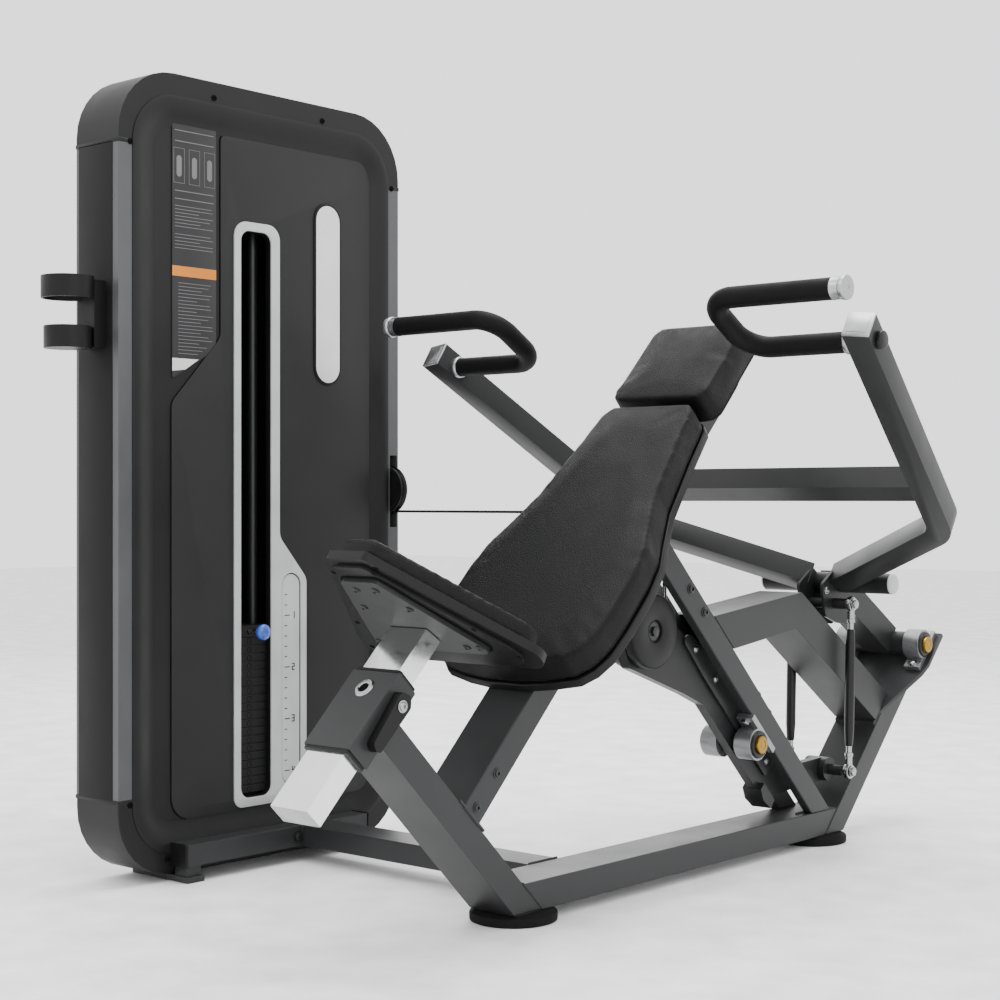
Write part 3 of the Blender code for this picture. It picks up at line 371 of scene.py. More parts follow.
def block(matrix, u, v, w, bevel=0.002):
    return prism(matrix, [rectangle(u, v)], *w, bevel=bevel)


def soften(obj, width, segments=2, angle=30):
    """Bevel a piece's edges and apply it."""
    modifier = obj.modifiers.new("soften", "BEVEL")
    modifier.width = width
    modifier.segments = segments
    modifier.limit_method = "ANGLE"
    modifier.angle_limit = radians(angle)
    modifier.harden_normals = False
    return solid_from(obj)


def mm(*points):
    """Points given in millimetres."""
    return [tuple(value / 1000 for value in point) for point in points]


def rectangle(u, v):
    return [(u[0], v[0]), (u[1], v[0]), (u[1], v[1]), (u[0], v[1])]


def rounded(corners, radius, steps=8):
    """Closed outline with each corner replaced by an arc."""
    points = []
    for i, corner in enumerate(corners):
        here = Vector(corner[:2])
        size = corner[2] if len(corner) > 2 else radius
        back = (Vector(corners[i - 1][:2]) - here).normalized()
        ahead = (Vector(corners[(i + 1) % len(corners)][:2]) - here).normalized()
        half = back.angle(ahead) / 2
        reach = size * cos(half) / sin(half)
        middle = here + (back + ahead).normalized() * (size / sin(half))
        start, end = here + back * reach - middle, here + ahead * reach - middle
        turn = start.angle_signed(end)
        for k in range(steps + 1):
            angle = -turn * k / steps
            points.append((middle.x + start.x * cos(angle) - start.y * sin(angle),
                           middle.y + start.x * sin(angle) + start.y * cos(angle)))
    return points


def arc(centre, radius, start, end, steps):
    angles = [radians(start + (end - start) * k / steps) for k in range(steps + 1)]
    return [(centre[0] + radius * cos(a), centre[1] + radius * sin(a)) for a in angles]


def bent(points, radius, steps=10):
    """Path through 3D corners with an arc at each inner one."""
    path = [Vector(points[0])]
    for before, here, after in zip(points, points[1:], points[2:]):
        here = Vector(here)
        back, ahead = (Vector(before) - here).normalized(), (Vector(after) - here).normalized()
        half = back.angle(ahead) / 2
        reach = radius * cos(half) / sin(half)
        middle = here + (back + ahead).normalized() * (radius / sin(half))
        start, end = here + back * reach - middle, here + ahead * reach - middle
        axis = start.cross(end).normalized()
        for k in range(steps + 1):
            path.append(middle + Matrix.Rotation(start.angle(end) * k / steps, 3, axis) @ start)
    path.append(Vector(points[-1]))
    return path


def piece(name, obj, body, material, slot=None, angle=35):
    """Name a solid, give it its material, and let it ride on a body.

    The slot argument is the record's own material name and is not used; it is left out where both names
    agree.
    """
    slot = slot or material
    obj.name = name
    obj.data.name = name
    obj.data.materials.clear()
    obj.data.materials.append(MATERIAL[material])
    obj.data.shade_smooth()
    obj.data.set_sharp_from_angle(angle=radians(angle))
    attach(obj, body)
    return obj


def gathered(name, solids, body, material, slot=None):
    """Join solids that share a body and a material into one piece."""
    edit = bmesh.new()
    for solid in solids:
        edit.from_mesh(solid.data)
        bpy.data.objects.remove(solid)
    mesh = bpy.data.meshes.new(name)
    edit.to_mesh(mesh)
    edit.free()
    return piece(name, linked(name, mesh), body, material, slot)


# ---------------------------------------------------------------- fasteners
def screw_head(place, direction, radius, height, washer=0.0):
    """Button head with a hexagon socket, and a washer under it where one is asked for."""
    matrix = axis_frame(place, direction)
    base = -0.0006
    outer = [(radius * 0.45, height * 0.45), (radius * 0.45, height), (radius * 0.72, height * 0.97),
             (radius * 0.92, height * 0.75), (radius, height * 0.4), (radius, base), (0.0, base)]
    head = turned(matrix, [(0.0, height * 0.45)] + outer, 24)
    if not washer:
        return [head]
    ring = [(radius * 0.5, base), (washer, base), (washer, 0.0012), (washer - 0.0005, 0.0016),
            (radius * 0.5, 0.0016)]
    return [head, turned(matrix, ring[::-1], 28)]


def hex_head(place, direction, radius, height, washer):
    """Hexagon bolt head with a chamfered top, on a washer."""
    matrix = axis_frame(place, direction)
    outline = arc((0, 0), radius, 0, 300, 5)
    head = prism(matrix, [outline], -0.0006, height, bevel=0.0009)
    ring = [(radius * 0.5, -0.0006), (washer, -0.0006), (washer, 0.0012), (radius * 0.5, 0.0016)]
    return [head, turned(matrix, ring[::-1], 28)]


def turned_pair(x, y_z, profile):
    """The same profile turned about the x axis on both sides of the machine, facing outward."""
    return [turned(axis_frame((sign * x, *y_z), (sign, 0, 0)), profile) for sign in (-1, 1)]


# ---------------------------------------------------------------- cushions
def simulate(pad, pinned, limit):
    """Blow the pad up as cloth with its base held, and keep each point within the limit of its place."""
    group = pad.vertex_groups.new(name="base")
    start = [v.co.copy() for v in pad.data.vertices]
    held = [i for i, co in enumerate(start) if pinned(co)]
    group.add(held, 1.0, "REPLACE")
    cloth = pad.modifiers.new("cloth", "CLOTH")
    settings = cloth.settings
    settings.use_pressure = True
    settings.uniform_pressure_force = 1.6
    settings.tension_stiffness = settings.compression_stiffness = 60.0
    settings.shear_stiffness = 30.0
    settings.bending_stiffness = 20.0
    settings.effector_weights.gravity = 0.0
    settings.vertex_group_mass = "base"
    cloth.point_cache.frame_start = 1
    cloth.point_cache.frame_end = CLOTH_FRAMES
    for step in range(1, CLOTH_FRAMES + 1):
        bpy.context.scene.frame_set(step)
    graph = bpy.context.evaluated_depsgraph_get()
    shaped = [v.co.copy() for v in pad.evaluated_get(graph).data.vertices]
    pad.modifiers.remove(cloth)
    bpy.context.scene.frame_set(1)
    for vertex, before, after in zip(pad.data.vertices, start, shaped):
        move = after - before
        if move.length > limit:
            move *= limit / move.length
        vertex.co = before + move


def cushion(name, node, body, base_height, shrink, limit, up, edge=0.015, voxel=0.0055):
    """Padded copy of a soft CAD solid: rounded, remeshed, blown up and smoothed.

    up is the pad's outward direction and base_height the height along it of the face it is held by.
    """
    source = linked("pad_source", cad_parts[node].data.copy())
    clean(source.data)
    low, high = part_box(node)
    middle = (low + high) / 2
    for vertex in source.data.vertices:
        away = vertex.co - middle
        away -= up * away.dot(up)
        vertex.co -= away.normalized() * shrink
    pad = soften(source, edge, 3, 40)
    remesh = pad.modifiers.new("remesh", "REMESH")
    remesh.mode = "VOXEL"
    remesh.voxel_size = voxel
    pad = solid_from(pad)
    simulate(pad, lambda co: co.dot(up) < base_height + 0.006, limit)
    smooth = pad.modifiers.new("smooth", "SMOOTH")
    smooth.factor = 0.5
    smooth.iterations = 9
    fine = pad.modifiers.new("fine", "SUBSURF")
    fine.levels = fine.render_levels = 1
    pad = solid_from(pad)
    for vertex in pad.data.vertices:
        below = base_height + 0.0005 - vertex.co.dot(up)
        if below > 0:
            vertex.co += up * below
    piece(name, pad, body, "vinyl", "upholstery", 80)
    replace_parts(pad, node)
    return pad


def seam(name, body, pad, matrix, outline, height, radius):
    """Sewn seam: a fine welt laid on the pad's side wall along an outline at one height."""
    tree = BVHTree.FromObject(pad, bpy.context.evaluated_depsgraph_get())
    spots = [matrix @ Vector((u, v, height)) for u, v in dense(outline)]
    centre = sum(spots, Vector()) / len(spots)
    points = []
    for spot in spots:
        outward = (spot - centre).normalized()
        hit = tree.ray_cast(spot + outward * 0.06, -outward, 0.2)[0]
        if hit:
            points.append(hit + outward * radius * 0.1)
    piece(name, tube(points, radius, 3, closed=True), body, "vinyl", "upholstery", 60)


def dense(outline, spacing=0.012):
    """The outline with extra points so that none lie further apart than the spacing."""
    points = []
    for (u0, v0), (u1, v1) in zip(outline, outline[1:] + outline[:1]):
        steps = max(1, int(((u1 - u0) ** 2 + (v1 - v0) ** 2) ** 0.5 / spacing))
        points += [(u0 + (u1 - u0) * k / steps, v0 + (v1 - v0) * k / steps) for k in range(steps)]
    return points


def seat_matrix():
    front, rear = Vector((0, *SEAT_FRONT)), Vector((0, *SEAT_REAR))
    return plane((1, 0, 0), rear - front, front)


def seat_outline(edge):
    """Outline of the seat, narrow in front and wide behind, the edge distance inside its shell."""
    length = (Vector(SEAT_REAR) - Vector(SEAT_FRONT)).length
    front, rear = 0.0404 - edge * 0.58, 0.2223 - edge * 1.71
    corners = [(-front, edge - 0.011, 0.014), (front, edge - 0.011, 0.014),
               (rear, length + 0.011 - edge, 0.04), (-rear, length + 0.011 - edge, 0.04)]
    return rounded(corners, 0.04)


def back_outline():
    widths = mm((266, 40), (273, 92), (286, 145), (308, 169), (340, 184), (400, 190), (480, 190),
                (540, 182), (590, 163), (667, 137), (800, 115), (880, 105), (900, 90))
    return [(half, s) for s, half in widths] + [(-half, s) for s, half in reversed(widths)]


def make_cushions():
    offset = ORIGIN.dot(UP_FRONT)
    back = cushion("back_cushion", "back_pad", "root", 0.2973 + offset, 0.0025, 0.007, UP_FRONT)
    seam("back_seam", "root", back, BACK, back_outline(), 0.305, 0.0012)
    head = cushion("head_cushion", "head_pad", "root", 0.2798 + offset, 0.0025, 0.007, UP_FRONT)
    square = rounded(mm((-111, 915), (111, 915), (106, 1128), (-106, 1128)), 0.025)
    seam("head_seam", "root", head, BACK, square, 0.288, 0.0012)
    matrix = seat_matrix()
    up = (matrix.to_3x3() @ Vector((0, 0, 1))).normalized()
    base = (matrix @ Vector((0, 0, 0.0003))).dot(up)
    seat = cushion("seat_cushion", "seat_pad", "seat", base, 0.002, 0.006, up, 0.009, 0.005)
    seam("seat_seam", "seat", seat, matrix, seat_outline(0.011), 0.004, 0.0009)


def make_shells():
    """Moulded tray under the seat: a rolled rim, a tapered underside, bolts for the recessed steel bracket,
    and painted shade in the gap round the bracket and in the screw wells.
    """
    matrix = seat_matrix()
    rim = prism(matrix, [seat_outline(0.0)], -0.015, -0.0003, bevel=0.0062, segments=4)
    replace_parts(piece("seat_rim", rim, "seat", "moulded_black", angle=60), "seat_shell")
    under = prism(matrix, [seat_outline(0.016)], -0.0218, -0.012, bevel=0.0045, segments=3)
    piece("seat_underside", under, "seat", "moulded_black", angle=60)
    edge = rounded(mm((-41, 30), (41, 30), (133, 249), (-133, 249)), 0.016)
    plate = rounded(mm((-37, 35), (37, 35), (127, 244), (-127, 244)), 0.013)
    # Painted shade: a near-black ring in the gap round the recessed bracket.
    gap = prism(matrix, [edge, plate], -0.0226, -0.0212, bevel=0.0004)
    piece("seat_bracket_gap_shade", gap, "seat", "black_and_painted_shade", "moulded_black")
    bolts, down = [], matrix.to_3x3() @ Vector((0, 0, -1))
    for x, a in ((0.021, 0.058), (0.05, 0.112), (0.084, 0.225), (0.111, 0.225)):
        for sign in (-1, 1):
            place = matrix @ Vector((sign * x, a, -0.03)) - ORIGIN
            bolts += screw_head(place, down, 0.0052, 0.0034, 0.0072)
    gathered("seat_bolts", bolts, "seat", "dark_steel", "chrome")
    # Painted shade: near-black shallow wells where the screws sit in the tray.
    dots = []
    well = mm((0, 0.6), (4.2, 0.6), (4.6, 0), (0, -0.4))
    for x, a in ((0.044, 0.02), (0.128, 0.18), (0.163, 0.262)):
        for sign in (-1, 1):
            place = matrix @ Vector((sign * x, a, -0.0218)) - ORIGIN
            dots.append(turned(axis_frame(place, down), well, 20))
    gathered("seat_screw_well_shade", dots, "seat", "black_and_painted_shade", "moulded_black")


# ---------------------------------------------------------------- press arms
def make_grips():
    for side, sign in SIDES:
        corners = [(0.4425, *GRIP_LOW), (GRIP_INNER_X, *GRIP_LOW), (GRIP_INNER_X, *GRIP_HIGH),
                   (GRIP_OUTER_X - 0.003, *GRIP_HIGH)]
        path = [(sign * p.x, p.y, p.z) for p in bent(corners, 0.05, 14)]
        grip = piece(f"foam_grip_{side}", rod(path, GRIP_RADIUS, 8), "press_arms", "grip_foam", "rubber")
        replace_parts(grip, f"grip_{side}")
        cap = mm((0, 3), (3.5, 3), (4, 4.2), (9.5, 4.2), (10, 3.6), (11, 3.6), (11.5, 4.2), (16.5, 4.2),
                 (19.8, 2.6), (20.5, 0), (20, -6), (18.8, -7.5), (18.8, -20), (19.2, -22.5), (0, -22.5))
        ends = [turned(axis_frame((sign * (GRIP_OUTER_X - 0.001), *GRIP_HIGH), (sign, 0, 0)), cap)]
        ring = mm((15, -7), (20, -7), (21.4, -5), (21.4, 1), (20.4, 3), (20.4, 7), (15, 7))
        ends.append(turned(axis_frame((sign * 0.4445, *GRIP_LOW), (sign, 0, 0)), ring[::-1]))
        gathered(f"grip_fittings_{side}", ends, "press_arms", "brushed", "chrome")
        disc = mm((0, 11.5), (12, 11.5), (15.2, 10), (16, 7), (16, 5), (15, 4), (15, -2), (0, -2))
        face = ARM_END.x + ARM_WIDTH / 2 - 0.00608
        stub = turned(axis_frame((sign * face, *GRIP_LOW), (sign, 0.132, 0)), disc)
        piece(f"grip_bolt_{side}", stub, "press_arms", "rod_black")


def arm_corners(sign):
    """Free end, bend and inner end of an arm; the inner end stops short of the hinge tube's middle."""
    inner = Vector((0.01, *HINGE_TUBE))
    inner += (ARM_BEND - inner).normalized() * 0.03
    return [Vector((sign * p.x, p.y, p.z)) for p in (ARM_END, ARM_BEND, inner)]


def arm_plane(sign):
    """Frame of the plane an arm is bent in: u runs down the arm from its free end."""
    end, turn, inner = arm_corners(sign)
    down = (turn - end).normalized()
    return plane(down, down.cross(inner - turn).cross(down), end)


def make_arm_bars():
    """Square arm tubes that keep their flat sides parallel to the bend."""
    half = ARM_WIDTH / 2
    for side, sign in SIDES:
        matrix = arm_plane(sign)
        inverse = matrix.inverted()
        path = bent([inverse @ (ORIGIN + corner) for corner in arm_corners(sign)], 0.072, 16)
        left, right = [], []
        for before, here, after in zip(path[:1] + path, path, path[1:] + path[-1:]):
            way = (after - before).normalized() * half
            left.append((here.x - way.y, here.y + way.x))
            right.append((here.x + way.y, here.y - way.x))
        bar = prism(matrix, [left + right[::-1]], -half, half, bevel=0.0045, segments=3)
        bar = piece(f"arm_tube_{side}", bar, "press_arms", "arm_paint")
        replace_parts(bar, f"arm_{side}")


def make_arm_caps():
    caps, half = [], ARM_WIDTH / 2 + 0.0004
    for sign in (-1, 1):
        across, normal = arm_plane(sign).to_3x3().col[1:3]
        matrix = plane(normal, across, (sign * ARM_END.x, ARM_END.y, ARM_END.z))
        caps.append(block(matrix, (-half, half), (-half, half), (0.0002, 0.0046), 0.0014))
        inset = half * 0.72
        caps.append(block(matrix, (-inset, inset), (-inset, inset), (0.004, 0.0054), 0.0006))
    gathered("arm_end_caps", caps, "press_arms", "brushed", "chrome")
    profile = mm((0, 6.5), (14, 6.2), (19.5, 4.5), (21.4, 1.8), (21.4, 0), (0, 0))
    gathered("hinge_tube_caps", turned_pair(0.1503, HINGE_TUBE, profile), "press_arms", "grey_plastic")


def make_arm_hinge_details():
    bolts = []
    for sign in (-1, 1):
        bolts += hex_head((sign * 0.0775, *ROD_TOP), (sign, 0, 0), 0.0095, 0.0066, 0.0125)
        for y, z in ((0.957, 0.52), (1.062, 0.46)):
            bolts += screw_head((sign * 0.0308, y, z), (sign, 0, 0), 0.0065, 0.004, 0.0085)
    gathered("hinge_bolts", bolts, "press_arms", "steel", "chrome")
    gold = mm((0, 5.2), (6, 5.2), (6.4, 4.6), (9.8, 4.6), (10.2, 5.6), (15, 5.6), (16.8, 4.4), (17.4, 2),
              (17.4, -2.5), (0, -2.5))
    cup = mm((17.6, -1.5), (20.5, -1.5), (26.5, -0.5), (27.2, 1.2), (26.2, 3.6), (24, 4.6), (20, 4.6),
             (18.2, 3.4), (17.6, 1))
    for name, body, pivot, cap_x, cup_x in (("arm", "press_arms", ARM_PIVOT, 0.107, 0.1012),
                                            ("lever", "lever", LEVER_PIVOT, 0.0632, 0.0582)):
        gathered(f"{name}_shaft_caps", turned_pair(cap_x, pivot, gold), body, "gold", "cast_silver")
        gathered(f"{name}_bearing_cups", turned_pair(cup_x, pivot, cup), "root", "rod_black")


def make_bearing_bolts():
    bolts = []
    for sign in (-1, 1):
        for along in (-0.043, 0.043):
            base = slope_point(sign * 0.083, 1.159 + along, -0.629 + 0.0125)
            bolts += hex_head(base, UP_FRONT, 0.008, 0.006, 0.0105)
            base = slope_point(sign * 0.039, 0.664 - 0.0125, -0.305 + along)
            bolts += hex_head(base, -UP_REAR, 0.008, 0.006, 0.0105)
    gathered("bearing_bolts", bolts, "root", "steel", "chrome")


# ---------------------------------------------------------------- link rods and lever
def make_link_rods():
    top, bottom = Vector((0, *ROD_TOP)), Vector((0, *ROD_BOTTOM))
    down = (bottom - top).normalized()
    length = (bottom - top).length
    for side, sign in SIDES:
        x = Vector((sign * ROD_X, 0, 0))
        body = [(0.0, 0.052), (0.007, 0.052), (0.0082, 0.056), (0.01, 0.088), (0.01, length - 0.088),
                (0.0082, length - 0.056), (0.007, length - 0.052), (0.0, length - 0.052)]
        sleeve = turned(axis_frame(top + x, down), body[::-1], 32)
        sleeve = piece(f"rod_sleeve_{side}", sleeve, "link_rods", "rod_black")
        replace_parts(sleeve, f"link_rod_{side}")
        ends = []
        for place, way in ((top + x, down), (bottom + x, -down)):
            shank = mm((0, 8), (6.2, 8), (7.2, 16), (7.2, 30), (8.6, 31), (8.6, 38), (6, 39), (6, 54),
                       (0, 54))
            ends.append(turned(axis_frame(place, way), shank[::-1], 24))
            eye = mm((10.5, -6.2), (15, -5), (16.2, 0), (15, 5), (10.5, 6.2))
            ends.append(turned(axis_frame(place, (1, 0, 0)), eye[::-1], 36))
            ball = mm((6.8, -8), (9, -7.6), (11.2, -4), (11.2, 4), (9, 7.6), (6.8, 8))
            ends.append(turned(axis_frame(place, (1, 0, 0)), ball[::-1], 32))
        ends += hex_head((sign * 0.0782, *ROD_BOTTOM), (sign, 0, 0), 0.0095, 0.006, 0.012)
        gathered(f"rod_ends_{side}", ends, "link_rods", "steel", "chrome")


def make_lever_details():
    for side, sign in SIDES:
        matrix = axis_frame((sign * 0.0103, *DISC_CENTRE), (sign, 0, 0))
        disc = mm((12, 0), (65.5, 0), (69, 3), (69.5, 6), (69.5, 19), (68, 22.5), (64.5, 24.7), (24, 24.7),
                  (21.5, 23.2), (20, 19), (12, 19))
        disc = piece(f"balance_disc_{side}", turned(matrix, disc, 72), "lever", "cast_black")
        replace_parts(disc, f"lever_disc_{side}")
    bolts = []
    for sign in (-1, 1):
        bolts += hex_head((sign * 0.029, *DISC_CENTRE), (sign, 0, 0), 0.01, 0.007, 0.0165)
    gathered("disc_bolts", bolts, "lever", "dark_steel", "cast_black")
    strap = rounded(mm((640, -424, 12), (686, -424, 12), (686, -105, 20), (668, -20, 20), (645, -20, 12),
                       (640, -120, 20)), 0.012)
    plates = [prism(SLOPE, [strap[::-1]], low, low + 0.0065, bevel=0.001) for low in (-0.0163, 0.0098)]
    gathered("lever_cheeks", plates, "lever", "arm_paint")
    studs = []
    for sign in (-1, 1):
        for s, n in ((0.663, -0.4), (0.663, -0.15), (0.66, -0.06)):
            studs += screw_head(slope_point(sign * 0.0163, s, n), (sign, 0, 0), 0.0052, 0.0034, 0.007)
    eye = mm((4.2, -3.5), (7.5, -3), (8.5, 0), (7.5, 3), (4.2, 3.5))
    studs.append(turned(axis_frame((0, CABLE_Y, 0.5075), (1, 0, 0)), eye[::-1], 24))
    studs.append(rod([(0, CABLE_Y, 0.492), (0, CABLE_Y, 0.5015)], 0.0042, 4))
    gathered("lever_studs", studs, "lever", "steel", "chrome")
    ferrule = rod([(0, CABLE_Y, 0.514), (0, CABLE_Y, 0.545)], 0.0048, 5)
    piece("cable_ferrule", ferrule, "lever", "steel", "chrome")


# ---------------------------------------------------------------- frame
def make_frame_details():
    bolts = []
    for sign in (-1, 1):
        for s, n in ((0.698, 0.068), (0.698, 0.0043)):
            bolts += screw_head(slope_point(sign * 0.05, s, n), (sign, 0, 0), 0.008, 0.005, 0.0108)
        for n in (-0.25, -0.304):
            bolts += screw_head(slope_point(sign * 0.04, 0.714, n), UP_REAR, 0.0066, 0.0045, 0.0088)
        for s in (0.045, 0.115):
            bolts += screw_head(slope_point(sign * 0.05, s, 0.2545), (sign, 0, 0), 0.0066, 0.0042, 0.009)
    gathered("frame_bolts", bolts, "root", "dark_steel", "cast_black")
    plate = block(SLOPE, (0.0262, 0.0312), (0.214, 0.295), (-0.052, 0.052), 0.0016)
    piece("spine_foot_plate", plate, "root", "frame_paint")
    caps = [block(SLOPE, (1.0703, 1.074), (0.23, 0.279), (-0.0495, 0.0495), 0.0016),
            block(SLOPE, (1.1903, 1.1935), (-0.6865, -0.6375), (-0.0495, 0.0495), 0.0012)]
    gathered("tube_end_caps", caps, "root", "moulded_black")
    for name, y in (("front", 0.0), ("rear", 0.941)):
        matrix = axis_frame((0, y, 0.0), (0, 0, 1))
        foot = mm((0, 0), (72, 0), (74.5, 1.2), (75, 4), (75, 12.5), (73.8, 15), (70, 15.8), (66, 19),
                  (62, 19.7), (0, 19.7))
        foot = piece(f"foot_disc_{name}", turned(matrix, foot[::-1], 72), "root", "rubber")
        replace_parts(foot, f"foot_{name}")
    end = block(SLOPE, (-0.1832, -0.1812), (0.4995, 0.5365), (-0.0395, 0.0395), 0.0008)
    piece("seat_tube_end", end, "seat", "brushed", "chrome")


def weld_beads():
    """Ripple welds along the joints between the frame tubes."""
    spans = [
        (slope_point(0.0502, 0.0268, 0.23), slope_point(0.0502, 0.0268, 0.279)),
        (Vector((-0.0505, 0.099, 0.0705)), Vector((-0.0505, 0.176, 0.0705))),
        (Vector((0.0495, 0.017, 0.0215)), Vector((0.0495, -0.033, 0.0705))),
        (Vector((0.0495, 0.9205, 0.0215)), Vector((0.0495, 0.9695, 0.07))),
        (Vector((-0.0495, -0.033, 0.0708)), Vector((0.0495, -0.033, 0.0708))),
        (Vector((0.03, 0.909, 0.0712)), Vector((0.03, 0.84, 0.0712))),
    ]
    gathered("weld_beads", [bead(start, end, 0.0022) for start, end in spans], "root", "frame_paint")


def bead(start, end, radius):
    """Bar whose thickness ripples along its length, like a stack of coins."""
    count = max(8, int((end - start).length / BEAD_PITCH))
    places = [ORIGIN + start.lerp(end, k / count) for k in range(count + 1)]
    return tube(places, radius, 2, [1.16 if k % 2 else 0.84 for k in range(count + 1)])


def make_sleeve_details():
    place = slope_point(0.0, 0.0462, 0.543)
    ring = mm((8.5, 0), (16.5, 0), (17, 0.8), (15, 3.2), (10.5, 3.6), (8.5, 2.2))
    piece("sleeve_pin_ring", turned(axis_frame(place, UP_FRONT), ring), "root", "steel", "chrome")
    plug = mm((0, 1.2), (8.6, 1.2), (8.6, -0.5), (0, -0.5))
    piece("sleeve_pin", turned(axis_frame(place, UP_FRONT), plug, 32), "root", "black_and_painted_shade", "moulded_black")
    liners = []
    outline = rounded(rectangle((-0.0485, 0.0485), (0.4935, 0.5415)), 0.005)
    hole = rounded(rectangle((-0.0402, 0.0402), (0.4988, 0.5372)), 0.003)
    for s, low, high in ((-0.0693, 0.0, 0.0045), (0.0833, -0.0045, 0.0)):
        across = plane((1, 0, 0), (0, -1, 1), slope_point(0.0, s, 0.0))
        liners.append(prism(across, [outline, hole], low, high, bevel=0.001))
    gathered("sleeve_liners", liners, "root", "moulded_black")
    pivot = screw_head(slope_point(0.0662, 0.04, 0.514), (1, 0, 0), 0.0075, 0.0045, 0.01)
    gathered("latch_bolt", pivot, "seat_latch", "steel", "chrome")


# ---------------------------------------------------------------- tower
def opening(inset):
    """Outline of the tower's opening, the inset inside its rim."""
    y, z = ((low + inset, high - inset) for low, high in (OPENING_Y, OPENING_Z))
    return rounded(rectangle(y, z), OPENING_RADIUS - inset * 0.9, 12)


def make_tower_lip():
    """Soft moulded border that falls from the tower's face to the recessed panel, on both sides."""
    rings = mm((-9, 0.2), (-8.8, 1.2), (-6, 1.6), (0, 1.4), (8, 0.2), (18, -3), (28, -7.8), (36, -10.8),
               (43, -12.2), (47, -12.7))
    for side, face, sign in (("user", TOWER_FACE, 1), ("wall", WALL_FACE, -1)):
        edit = bmesh.new()
        loops = [[edit.verts.new(ORIGIN + Vector((face + sign * depth, y, z))) for y, z in opening(inset)]
                 for inset, depth in rings]
        for outer, inner in zip(loops, loops[1:]):
            for k in range(len(outer)):
                edit.faces.new((outer[k - 1], outer[k], inner[k], inner[k - 1]))
        mesh = bpy.data.meshes.new("lip")
        edit.to_mesh(mesh)
        edit.free()
        sheet = linked("lip", mesh)
        thick = sheet.modifiers.new("thick", "SOLIDIFY")
        thick.thickness = 0.0012
        thick.offset = 0.0
        piece(f"tower_lip_{side}", solid_from(sheet), "root", "shroud_plastic", angle=60)


def make_panels():
    slot = rounded(rectangle(SLOT_Y, SLOT_Z), 0.02)
    outline = rounded(mm((-179, 107, 45), (341, 107, 45), (341, 1405, 45), (-61, 1405, 12), (-61, 1017, 30),
                         (-179, 889, 30)), 0.03)
    raised = prism(SIDE, [outline, slot], PANEL_X - 0.001, PANEL_X + 0.003, bevel=0.0022, segments=3)
    piece("raised_panel", raised, "root", "panel_plastic", "shroud_plastic")
    rim = rounded(mm((-180.5, 105.5, 45), (342.5, 105.5, 45), (342.5, 1406.5, 45), (-62.5, 1406.5, 12),
                     (-62.5, 1017.6, 30), (-180.5, 889.6, 30)), 0.03)
    # Painted shade: a near-black ring round the raised panel's foot stands for the shade along its step.
    groove = prism(SIDE, [rim, outline], PANEL_X - 0.0008, PANEL_X + 0.0003)
    piece("panel_groove_shade", groove, "root", "black_and_painted_shade", "shroud_plastic")
    back = rounded(rectangle((-0.196, 0.3), (0.14, 1.37)), 0.06)
    raised = prism(SIDE, [back], -0.7945, -0.7905, bevel=0.0018, segments=3)
    piece("raised_panel_wall_side", raised, "root", "panel_plastic", "shroud_plastic")


def make_bezel():
    """Slot surround with a dark liner, and a stadium beside its foot that holds the plain scale."""
    outer = rounded(mm((-29, 112, 20), (158, 112, 30), (158, 551, 30), (87, 634, 30), (87, 1246, 30),
                       (-29, 1246, 30)), 0.03)
    inner = rounded(rectangle((-0.0128, 0.0648), (0.1292, 1.2288)), 0.021)
    stadium = rounded(rectangle((0.092, 0.143), (0.142, 0.562)), 0.025)
    body = prism(SIDE, [outer, inner, stadium], -0.6897, -0.684, bevel=0.0024, segments=3)
    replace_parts(piece("slot_surround", body, "root", "grey_plastic"), "slot_bezel")
    line = rounded(rectangle((0.091, 0.144), (0.141, 0.563)), 0.026)
    inset = rounded(rectangle((0.0945, 0.1405), (0.1445, 0.5595)), 0.0225)
    field = prism(SIDE, [inset], -0.6895, -0.6862, bevel=0.001)
    piece("scale_field", field, "root", "grey_plastic")
    # Painted shade: a near-black ring in the groove round the scale field.
    groove = prism(SIDE, [line, inset], -0.6896, -0.6874)
    piece("scale_groove_shade", groove, "root", "black_and_painted_shade", "grey_plastic")
    hollow = rounded(rectangle((-0.0115, 0.0635), (0.1305, 1.2275)), 0.0198)
    liner = prism(SIDE, [inner, hollow], -0.7, -0.6866, bevel=0.0005)
    piece("slot_liner", liner, "root", "moulded_black")
    numbers()


def digit(value, matrix, size):
    """Numeral from 1 to 4 built from short bars as on a seven-segment display, flat on the plane."""
    lit = {1: "bc", 2: "abged", 3: "abgcd", 4: "fgbc"}[value]
    w, h, t = size * 0.5, size, size * 0.13
    bars = {"a": ((0, w), (h - t, h)), "g": ((0, w), (h / 2 - t / 2, h / 2 + t / 2)), "d": ((0, w), (0, t)),
            "f": ((0, t), (h / 2, h)), "b": ((w - t, w), (h / 2, h)), "e": ((0, t), (0, h / 2)),
            "c": ((w - t, w), (0, h / 2))}
    return [prism(matrix, [rectangle(*bars[key])], 0.0, 0.0004) for key in lit]


def numbers():
    """Plain scale up the stadium: short strokes, with a numeral at every fifth one."""
    marks = []
    low, pitch, strokes, group = 0.17, 0.0205, 18, 5
    for i in range(strokes):
        z = low + i * pitch
        wide = 0.007 if i % group else 0.014
        marks.append(prism(SIDE, [rectangle((0.101, 0.101 + wide), (z, z + 0.0016))], -0.6862, -0.6858))
        if i % group == 0:
            place = (-0.6861, 0.1205, z - 0.006)
            marks += digit(4 - i // group, plane((0, 1, 0), (0, 0, 1), place), 0.014)
    gathered("scale_marks", marks, "root", "black_and_painted_shade", "grey_plastic")


